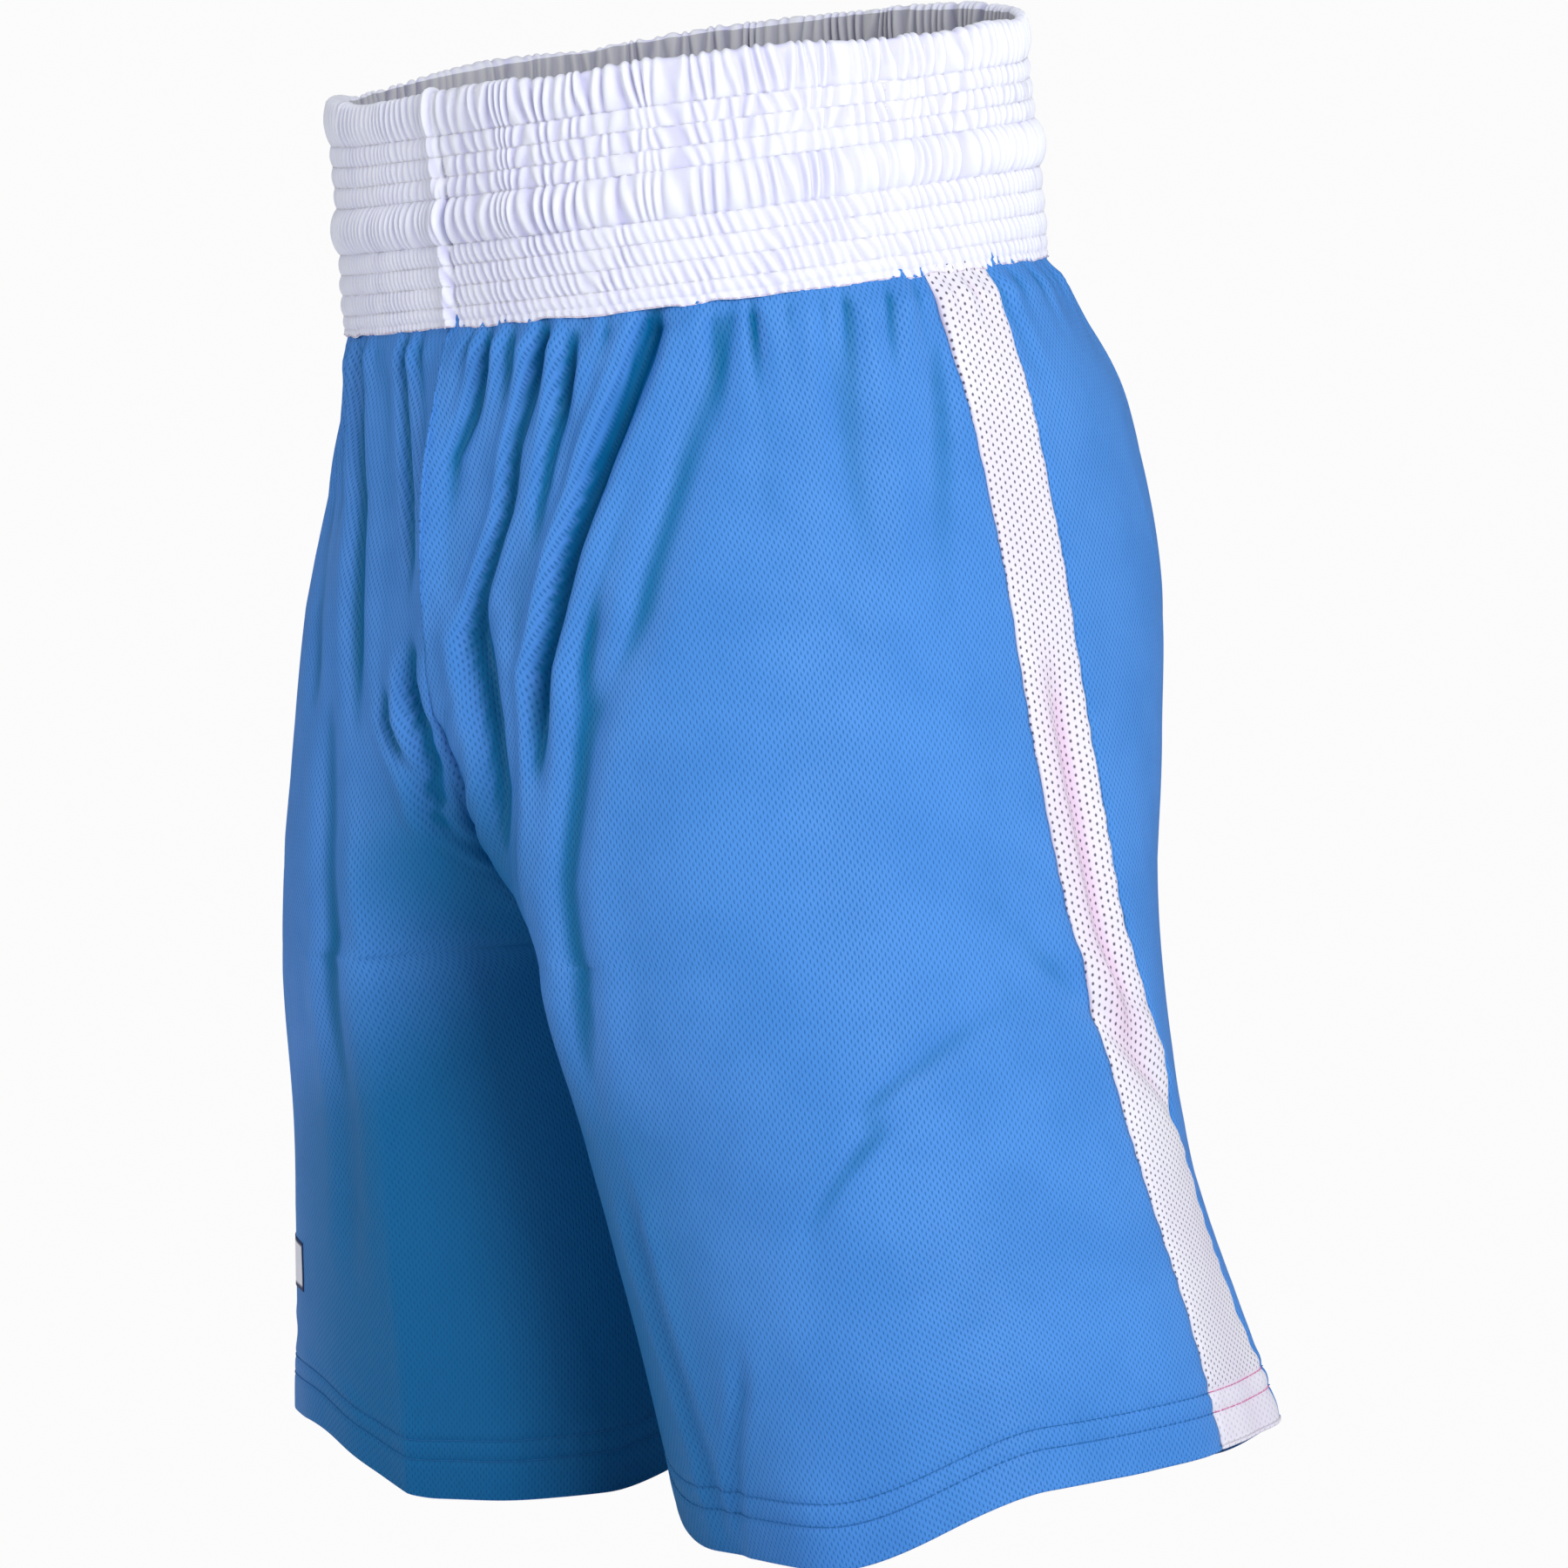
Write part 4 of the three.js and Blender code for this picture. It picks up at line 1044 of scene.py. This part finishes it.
def tubes(name, centres, along, out, length, radius, rise, material, slot, *nodes):
    """Stitches in thread: each lies along the cloth at its centre, and dips into it at both ends.
    Its middle line is centre + along times half the length times t, + out times the rise times 1 - t squared,
    for t from -1 to 1, with a round section that narrows at the ends."""
    t = np.linspace(-1, 1, 6)
    turn = np.linspace(0, 2 * math.pi, 6)[:-1]
    n = len(centres)
    length = np.broadcast_to(length, (n,))
    side = np.cross(along, out)
    line = (centres[:, None] + along[:, None] * (length[:, None] / 2 * t)[..., None]
            + out[:, None] * (rise * (1 - t * t) * 1.5 - rise * 0.5)[None, :, None])
    size = radius * (1 - 0.5 * t ** 4)
    round_ = (side[:, None, None] * np.cos(turn)[None, None, :, None]
              + out[:, None, None] * np.sin(turn)[None, None, :, None])
    points = line[:, :, None] + round_ * size[None, :, None, None]
    m = len(turn)
    i = np.arange(len(t) - 1)[:, None] * m
    j = np.arange(m)[None, :]
    k = (j + 1) % m
    quads = np.stack([i + j, i + k, i + m + k, i + m + j], -1).reshape(-1, 4)
    each = len(t) * m
    faces = (quads[None] + np.arange(n)[:, None, None] * each).reshape(-1, 4)
    points = points.reshape(-1, 3) / 1000.0
    points[:, 1] -= MIDDLE_Y / 1000.0
    mesh = bpy.data.meshes.new(name)
    mesh.from_pydata(points.tolist(), [], faces.tolist())
    mesh.polygons.foreach_set("use_smooth", np.ones(len(faces), bool))
    mesh.update()
    obj = bpy.data.objects.new(name, mesh)
    bpy.context.scene.collection.objects.link(obj)
    return put(obj, material, slot, *nodes)


def stitch_row(name, path, out, pitch, gap, radius, lift, material, slot, nodes, seed=1):
    """Even stitches along an open path of points, each as long as the pitch less the gap."""
    step = np.linalg.norm(np.diff(path, axis=0), axis=1)
    walked = np.concatenate([[0], np.cumsum(step)])
    count = int(walked[-1] / pitch)
    at = (np.arange(count) + 0.5) * walked[-1] / count
    rng = np.random.default_rng(seed)
    at = at + rng.normal(0, 0.06, count) * pitch
    ahead, behind = np.minimum(at + pitch * 0.4, walked[-1]), np.maximum(at - pitch * 0.4, 0)
    along = unit(at_places(ahead, walked, path) - at_places(behind, walked, path), 1e-9)
    normal = at_places(at, walked, out)
    normal = unit(normal - along * np.sum(normal * along, 1, keepdims=True), 1e-9)
    centres = at_places(at, walked, path) + normal * lift
    return tubes(name, centres, along, normal, pitch - gap, radius, 0.22, material, slot, *nodes)


def row_of(hand, which, height):
    """The points and normals of one panel's outer face along a height of the pattern."""
    moved, normal, _ = GRIDS[hand, which]
    i = int(np.clip(np.searchsorted(ROWS, height) - 1, 0, len(ROWS) - 2))
    f = (height - ROWS[i]) / (ROWS[i + 1] - ROWS[i])
    return moved[i] * (1 - f) + moved[i + 1] * f + [0, 0, HEM_LIFT], normal[i] * (1 - f) + normal[i + 1] * f


def mirrored(points, hand):
    """The points, turned over to the wearer's right side for the right hand."""
    return points * ([-1, 1, 1] if hand == "right" else [1, 1, 1])


def hem_stitches(hand):
    """Two rows of stitches round each hem, in blue on the blue panels and in pink on the mesh."""
    for height, word in ((STITCH_LOW, "low"), (STITCH_HIGH, "high")):
        for which in ("front", "side", "back"):
            path, out = row_of(hand, which, height)
            path, out = mirrored(path, hand), mirrored(out, hand)
            pink = which == "side"
            name = "hem_thread_%s_%s_%s" % (word, which, hand)
            stitch_row(name, path, out, 2.4, 0.35, 0.21 if pink else 0.19, 0.12,
                       PINK_THREAD if pink else BLUE_THREAD, "seam_thread" if pink else "body_thread",
                       ["hem_stitch_%s_%s" % (word, hand)], seed=3)


def near_edge(hand, which, start, distance, rows):
    """Points of a panel at an arc distance from its first or last column."""
    moved, normal, _ = GRIDS[hand, which]
    if not start:
        moved, normal = moved[:, ::-1], normal[:, ::-1]
    out = np.empty((len(rows), 3))
    facing = np.empty((len(rows), 3))
    for n, i in enumerate(rows):
        walked = np.concatenate([[0], np.cumsum(np.linalg.norm(np.diff(moved[i, :14], axis=0), axis=1))])
        out[n] = at_places(distance, walked, moved[i, :14])
        facing[n] = at_places(distance, walked, normal[i, :14])
    return out, facing


def seam_tape(name, hand, first, second, low, high, node_name, material, slot):
    """The overlocked edges of a join: a soft strip inside the cloth, ribbed by its thread."""
    rows = np.nonzero((ROWS >= low) & (ROWS <= high))[0]
    columns = []
    for which, start, distances in ((first, False, (2.8, 1.6, 0.5)), (second, True, (0.5, 1.6, 2.8))):
        for distance in distances:
            p, n = near_edge(hand, which, start, distance, rows)
            swell = 0.35 * math.exp(-((distance - 0.5) / 1.6) ** 2)
            rib = 0.12 * np.sin(ROWS[rows] * 2 * math.pi / 1.9)[:, None]
            columns.append(p - n * (1.15 + swell + rib) + [0, 0, HEM_LIFT])
    grid = np.stack(columns, 1)
    uv = pattern_grid(np.array([0, 1.2, 2.3, 3.3, 4.4, 5.6]), ROWS[rows])
    obj = mesh_from_grid(name, grid, uv, hand, thick=0.5)
    return put(obj, material, slot, node_name)


def centre_tape():
    """The centre join from the front down under the crotch and up the back, as one strip."""
    rows = np.nonzero((ROWS >= CROTCH + 1) & (ROWS <= JOIN_TOP))[0]
    lines = []
    for distance in (2.8, 1.5, 0.4):
        front, fn = near_edge("left", "front", True, distance, rows)
        back, bn = near_edge("left", "back", False, distance, rows)
        path = np.concatenate([front[::-1], back])
        away = np.concatenate([fn[::-1], bn])
        away[:, 0] *= 0.3
        lines.append(path - unit(away) * (1.5 if distance > 1 else 2.0))
    opposite = [line * [-1, 1, 1] for line in lines[::-1]]
    grid = np.stack(lines + opposite, 1)[:, ::-1]
    uv = pattern_grid(np.array([0, 1.3, 2.4, 3.2, 4.3, 5.6]), np.arange(len(grid)) * 2.0)
    obj = mesh_from_grid("centre_join", grid, uv, thick=0.5)
    return put(obj, BLUE_THREAD, "body_thread", "centre_seam")


def band_line(lift, inside=False, extra=0.0):
    """One closed line round the band at a height above its lower edge, and the outward directions."""
    lift = np.array([float(lift)])
    points, _, _, _ = band_shape(lift, 2000, inside)
    _, out, _, _, _ = ring(lift, 2000)
    out = np.concatenate([out[0], 0 * out[0][:, :1]], 1)
    line = points[0] + out * extra
    close = lambda a: np.concatenate([a, a[:1]])
    return close(line), close(out)


def band_threads():
    """Eight rows of white stitches through the band and a pale pink row that joins it to the body."""
    lifts = (8, 16, 24, 32, 50, 58, 66, 74)
    for i, lift in enumerate(lifts):
        line, out = band_line(lift)
        stitch_row("band_thread_%d" % (i + 1), line, out, 3.1, 0.5, 0.19, 0.10, WHITE_THREAD, "band_thread",
                   ["band_stitch_row_%d" % (i + 1)], seed=20 + i)
    line, out = band_line(0.5)
    stitch_row("waist_thread", line, out, 2.6, 0.3, 0.20, 0.02, PALE_PINK, "seam_thread",
               ["waist_seam_stitch"], seed=40)


def elastics():
    """Six knitted elastics in the channels between the rows, a little wavy where they are drawn in."""
    bottoms = (8, 16, 24, 50, 58, 66)
    for i, bottom in enumerate(bottoms):
        lift = np.linspace(bottom + 0.9, bottom + 7.1, 5)
        plan, out, z, s, total = ring(lift, 600)
        wave = 0.1 * np.sin(s * 2 * math.pi / 9.0)
        points = np.concatenate([plan + out * (-BAND_INSET - 1.1 + wave[None, :, None]), z[..., None]], -1)
        points = np.concatenate([points, points[:, :1]], 1)
        uv = pattern_grid(np.concatenate([s, [total]]), lift)
        obj = mesh_from_grid("elastic_%d" % (i + 1), points, uv, thick=0.8)
        put(obj, WEBBING, "elastic", "elastic_strip_%d" % (i + 1))


SMALL = {}


def patch_grid(hand, which, low, high, start, end, lift, count=(12, 26)):
    """Points over one panel, raised by lift, between two heights and two shares of its width."""
    shares = np.linspace(start, end, count[1])
    rows = []
    for height in np.linspace(low, high, count[0]):
        p, n = row_of(hand, which, height)
        t = np.linspace(0, 1, len(p))
        rows.append(at_places(shares, t, p) + at_places(shares, t, n) * lift)
    return np.stack(rows)


def measured(grid):
    """The width and length of a grid of points in metres."""
    wide = np.linalg.norm(np.diff(grid, axis=1), axis=2).sum(1).mean() / 1000
    long = np.linalg.norm(np.diff(grid, axis=0), axis=2).sum(0).mean() / 1000
    return float(wide), float(long)


def labels_and_patch():
    """A blank size label and care label inside, and a plain patch with a dark border on the right leg."""
    grid = patch_grid("left", "back", BODY - 56, JOIN_TOP, 0.085, 0.17, -1.5, (14, 10))[:, ::-1]
    uv = pattern_grid(np.linspace(0, 22, 10), np.linspace(0, 40, 14))
    obj = mesh_from_grid("care_tag", grid, uv, thick=0.3)
    SMALL["care"] = (put(obj, LABEL, "label_cloth", "care_label"), measured(grid))
    lift = np.linspace(24, 48, 10)
    plan, out, z, s, total = ring(lift, 800)
    stand, _, _, _ = band_shape(lift, 800, True)
    pick = slice(386, 415)
    inner = np.min(np.sum((stand[:, pick, :2] - plan[:, pick]) * out[:, pick], 2))
    flat = plan[:, pick] + out[:, pick] * (inner - 0.9)
    grid = np.concatenate([flat, z[:, pick, None]], -1)[:, ::-1]
    obj = mesh_from_grid("size_tag", grid, pattern_grid(np.linspace(0, 30, 29), lift), thick=0.3)
    SMALL["size"] = (put(obj, LABEL, "label_cloth", "size_label"), measured(grid))
    grid = patch_grid("right", "front", 58, 84, 0.585, 0.83, 0.35, (18, 90))
    u, v = np.moveaxis(pattern_grid(np.linspace(0, 1, 90), np.linspace(0, 1, 18)), -1, 0)
    wide, long = measured(grid)
    rim = np.minimum(np.minimum(u, 1 - u) * wide, np.minimum(v, 1 - v) * long)
    border = 1 - smooth(0.0012, 0.0022, rim)
    obj = mesh_from_grid("plain_patch", grid, np.stack([u * wide * 1000, v * long * 1000], -1), "right",
                         thick=0.4, values=border)
    SMALL["patch"] = (put(obj, PATCH, "patch_cloth", "leg_patch"), (wide, long))


def join_tape():
    """The strip that covers the band's join inside the centre front."""
    lift = np.linspace(6, BAND - 6, 24)
    plan, out, z, s, total = ring(lift, 1400)
    shape, _, _, _ = band_shape(lift, 1400, True)
    pick = np.arange(-6, 7)
    reach = np.sum((shape[:, pick, :2] - plan[:, pick]) * out[:, pick], 2).min(1)
    flat = plan[:, pick] + out[:, pick] * (reach[:, None, None] - 0.8)
    grid = np.concatenate([flat, z[:, pick, None]], -1)[:, ::-1]
    obj = mesh_from_grid("join_strip", grid, pattern_grid(np.linspace(0, 8, 13), lift), thick=0.4)
    put(obj, WHITE_THREAD, "band_thread", "band_join_seam")


for hand in ("left", "right"):
    hem_stitches(hand)
    for word, first, second in (("front", "front", "side"), ("back", "side", "back")):
        seam_tape("side_join_%s_%s" % (word, hand), hand, first, second, 28, JOIN_TOP,
                  "side_seam_%s_%s" % (word, hand), PALE_PINK, "seam_thread")
    seam_tape("leg_join_" + hand, hand, "back", "front", 28, CROTCH - 6, "inseam_" + hand,
              BLUE_THREAD, "body_thread")
centre_tape()
band_threads()
elastics()
labels_and_patch()
join_tape()


def stage_parts():
    """A pale level floor that the camera sees in the same near white as the room, without shadows."""
    wide = np.array([-4.0, 4.0])
    grid = np.empty((2, 2, 3))
    grid[..., 0] = wide[None, :]
    grid[..., 1] = wide[:, None]
    grid[..., 2] = -0.0004
    grid *= 1000
    obj = mesh_from_grid("floor", grid, grid[..., :2])
    m = tree("material", "floor paint")
    t = m.node_tree
    paint = node(t, "ShaderNodeBsdfDiffuse", {"Color": (0.90, 0.90, 0.92, 1)})
    glow = node(t, "ShaderNodeEmission", {"Color": (0.97, 0.97, 0.97, 1), "Strength": 1.0})
    seen = node(t, "ShaderNodeLightPath").outputs["Is Camera Ray"]
    mix = node(t, "ShaderNodeMixShader", {0: seen})
    t.links.new(paint.outputs[0], mix.inputs[1])
    t.links.new(glow.outputs[0], mix.inputs[2])
    out = node(t, "ShaderNodeOutputMaterial")
    t.links.new(mix.outputs[0], out.inputs[0])
    obj.data.materials.append(m)
    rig.stage(obj)


def lamp(name, place, aim, size, power, colour=(1, 1, 1)):
    data = bpy.data.lights.new(name, "AREA")
    data.shape = "RECTANGLE"
    data.size, data.size_y = size
    data.energy = power
    data.color = colour
    obj = bpy.data.objects.new(name, data)
    obj.location = place
    obj.rotation_euler = (Vector(aim) - Vector(place)).to_track_quat("-Z", "Y").to_euler()
    bpy.context.scene.collection.objects.link(obj)
    return obj


def round_the_shorts(azimuth, elevation, distance):
    """A point at that bearing from the middle of the shorts; bearing 0 is straight in front."""
    a, e = math.radians(azimuth), math.radians(elevation)
    middle = Vector((0, 0, 0.28))
    return middle + distance * Vector((math.sin(a) * math.cos(e), -math.cos(a) * math.cos(e), math.sin(e)))


def studio():
    """A large soft key on the wearer's left, a weaker front fill, a rim from behind, a faint top light and
    an even dim room, which the camera sees as nearly white."""
    middle = (0, 0, 0.28)
    lamp("key", round_the_shorts(76, 20, 1.7), middle, (0.8, 1.1), 21)
    lamp("fill", round_the_shorts(-26, 16, 2.2), middle, (0.9, 1.1), 14)
    lamp("rim", round_the_shorts(150, 15, 2.0), middle, (0.8, 1.1), 6)
    lamp("top", round_the_shorts(40, 78, 1.7), middle, (1.5, 1.5), 3)
    world = bpy.data.worlds.new("room")
    world.use_nodes = True
    t = world.node_tree
    seen = node(t, "ShaderNodeLightPath").outputs["Is Camera Ray"]
    colour = mixed(t, seen, (0.242, 0.247, 0.260, 1), (0.97, 0.97, 0.97, 1))
    t.links.new(colour, t.nodes["Background"].inputs["Color"])
    bpy.context.scene.world = world
    view = bpy.context.scene.view_settings
    view.view_transform = "Standard"
    view.look = "None"
    view.exposure = 0.0


def camera():
    """A long lens from the wearer's left front, low and turned a little."""
    a, e, r = math.radians(51.52), math.radians(3.94), math.radians(4.31)
    aim = Vector((0.1053, -0.0614, 0.2699))
    away = Vector((math.sin(a) * math.cos(e), -math.cos(a) * math.cos(e), math.sin(e)))
    right = (-away).cross(Vector((0, 0, 1))).normalized()
    up = right.cross(-away)
    turned = math.cos(r) * right - math.sin(r) * up
    upward = math.sin(r) * right + math.cos(r) * up
    data = bpy.data.cameras.new("camera")
    data.sensor_width = 36
    data.lens = 135.8
    data.clip_end = 20
    obj = bpy.data.objects.new("camera", data)
    place = aim + 2.114 * away
    obj.matrix_world = Matrix(((turned.x, upward.x, away.x, place.x), (turned.y, upward.y, away.y, place.y),
                               (turned.z, upward.z, away.z, place.z), (0, 0, 0, 1)))
    bpy.context.scene.collection.objects.link(obj)
    bpy.context.scene.camera = obj


def declare_cloth():
    """The cut size of every sheet in metres: its width along the cloth and its length with the turned hem."""
    named = bpy.data.objects
    for hand in ("left", "right"):
        for which in ("front", "side", "back"):
            wide, long, area = FLAT[which, hand]
            on_it = [named["hem_thread_%s_%s_%s" % (word, which, hand)] for word in ("low", "high")]
            if which == "side":
                on_it += [named["side_join_front_" + hand], named["side_join_back_" + hand]]
            if which == "back":
                on_it += [named["leg_join_" + hand]]
            if which == "back" and hand == "left":
                on_it += [named["centre_join"]]
            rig.sheet(named["cloth_%s_panel_%s" % (which, hand)], flat=(wide, long), held="hung",
                     rests_on=["band_outside_lower"], area=min(area, wide * long), with_pieces=on_it)
    on_band = {
        "band_outside_lower": [named["band_thread_%d" % i] for i in (1, 2, 3, 4)] + [named["waist_thread"]],
        "band_outside_upper": [named["band_thread_%d" % i] for i in (5, 6, 7, 8)],
        "band_inside_lower": [named["elastic_%d" % i] for i in (1, 2, 3)],
        "band_inside_upper": [named["elastic_%d" % i] for i in (4, 5, 6)] + [named["join_strip"]],
    }
    for name, (area, around, tall) in BAND_AREAS.items():
        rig.sheet(named[name], flat=(around * CUT_RATIO, tall), held="gathered",
                 rests_on=["elastic_%d" % i for i in range(1, 7)], with_pieces=on_band[name])
    care, size = SMALL["care"], SMALL["size"]
    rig.sheet(care[0], flat=care[1], held="hung", rests_on=["cloth_back_panel_left"])
    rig.sheet(size[0], flat=size[1], held="laid", rests_on=["band_inside_lower"])
    patch = SMALL["patch"]
    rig.sheet(patch[0], flat=patch[1], held="laid", rests_on=["cloth_front_panel_right"])


stage_parts()
studio()
camera()
declare_cloth()
LOOK_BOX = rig.bounds()
with open("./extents.json", "w") as out:
    json.dump({"cad": [list(v) for v in CAD_BOX], "look": [list(v) for v in LOOK_BOX]}, out)
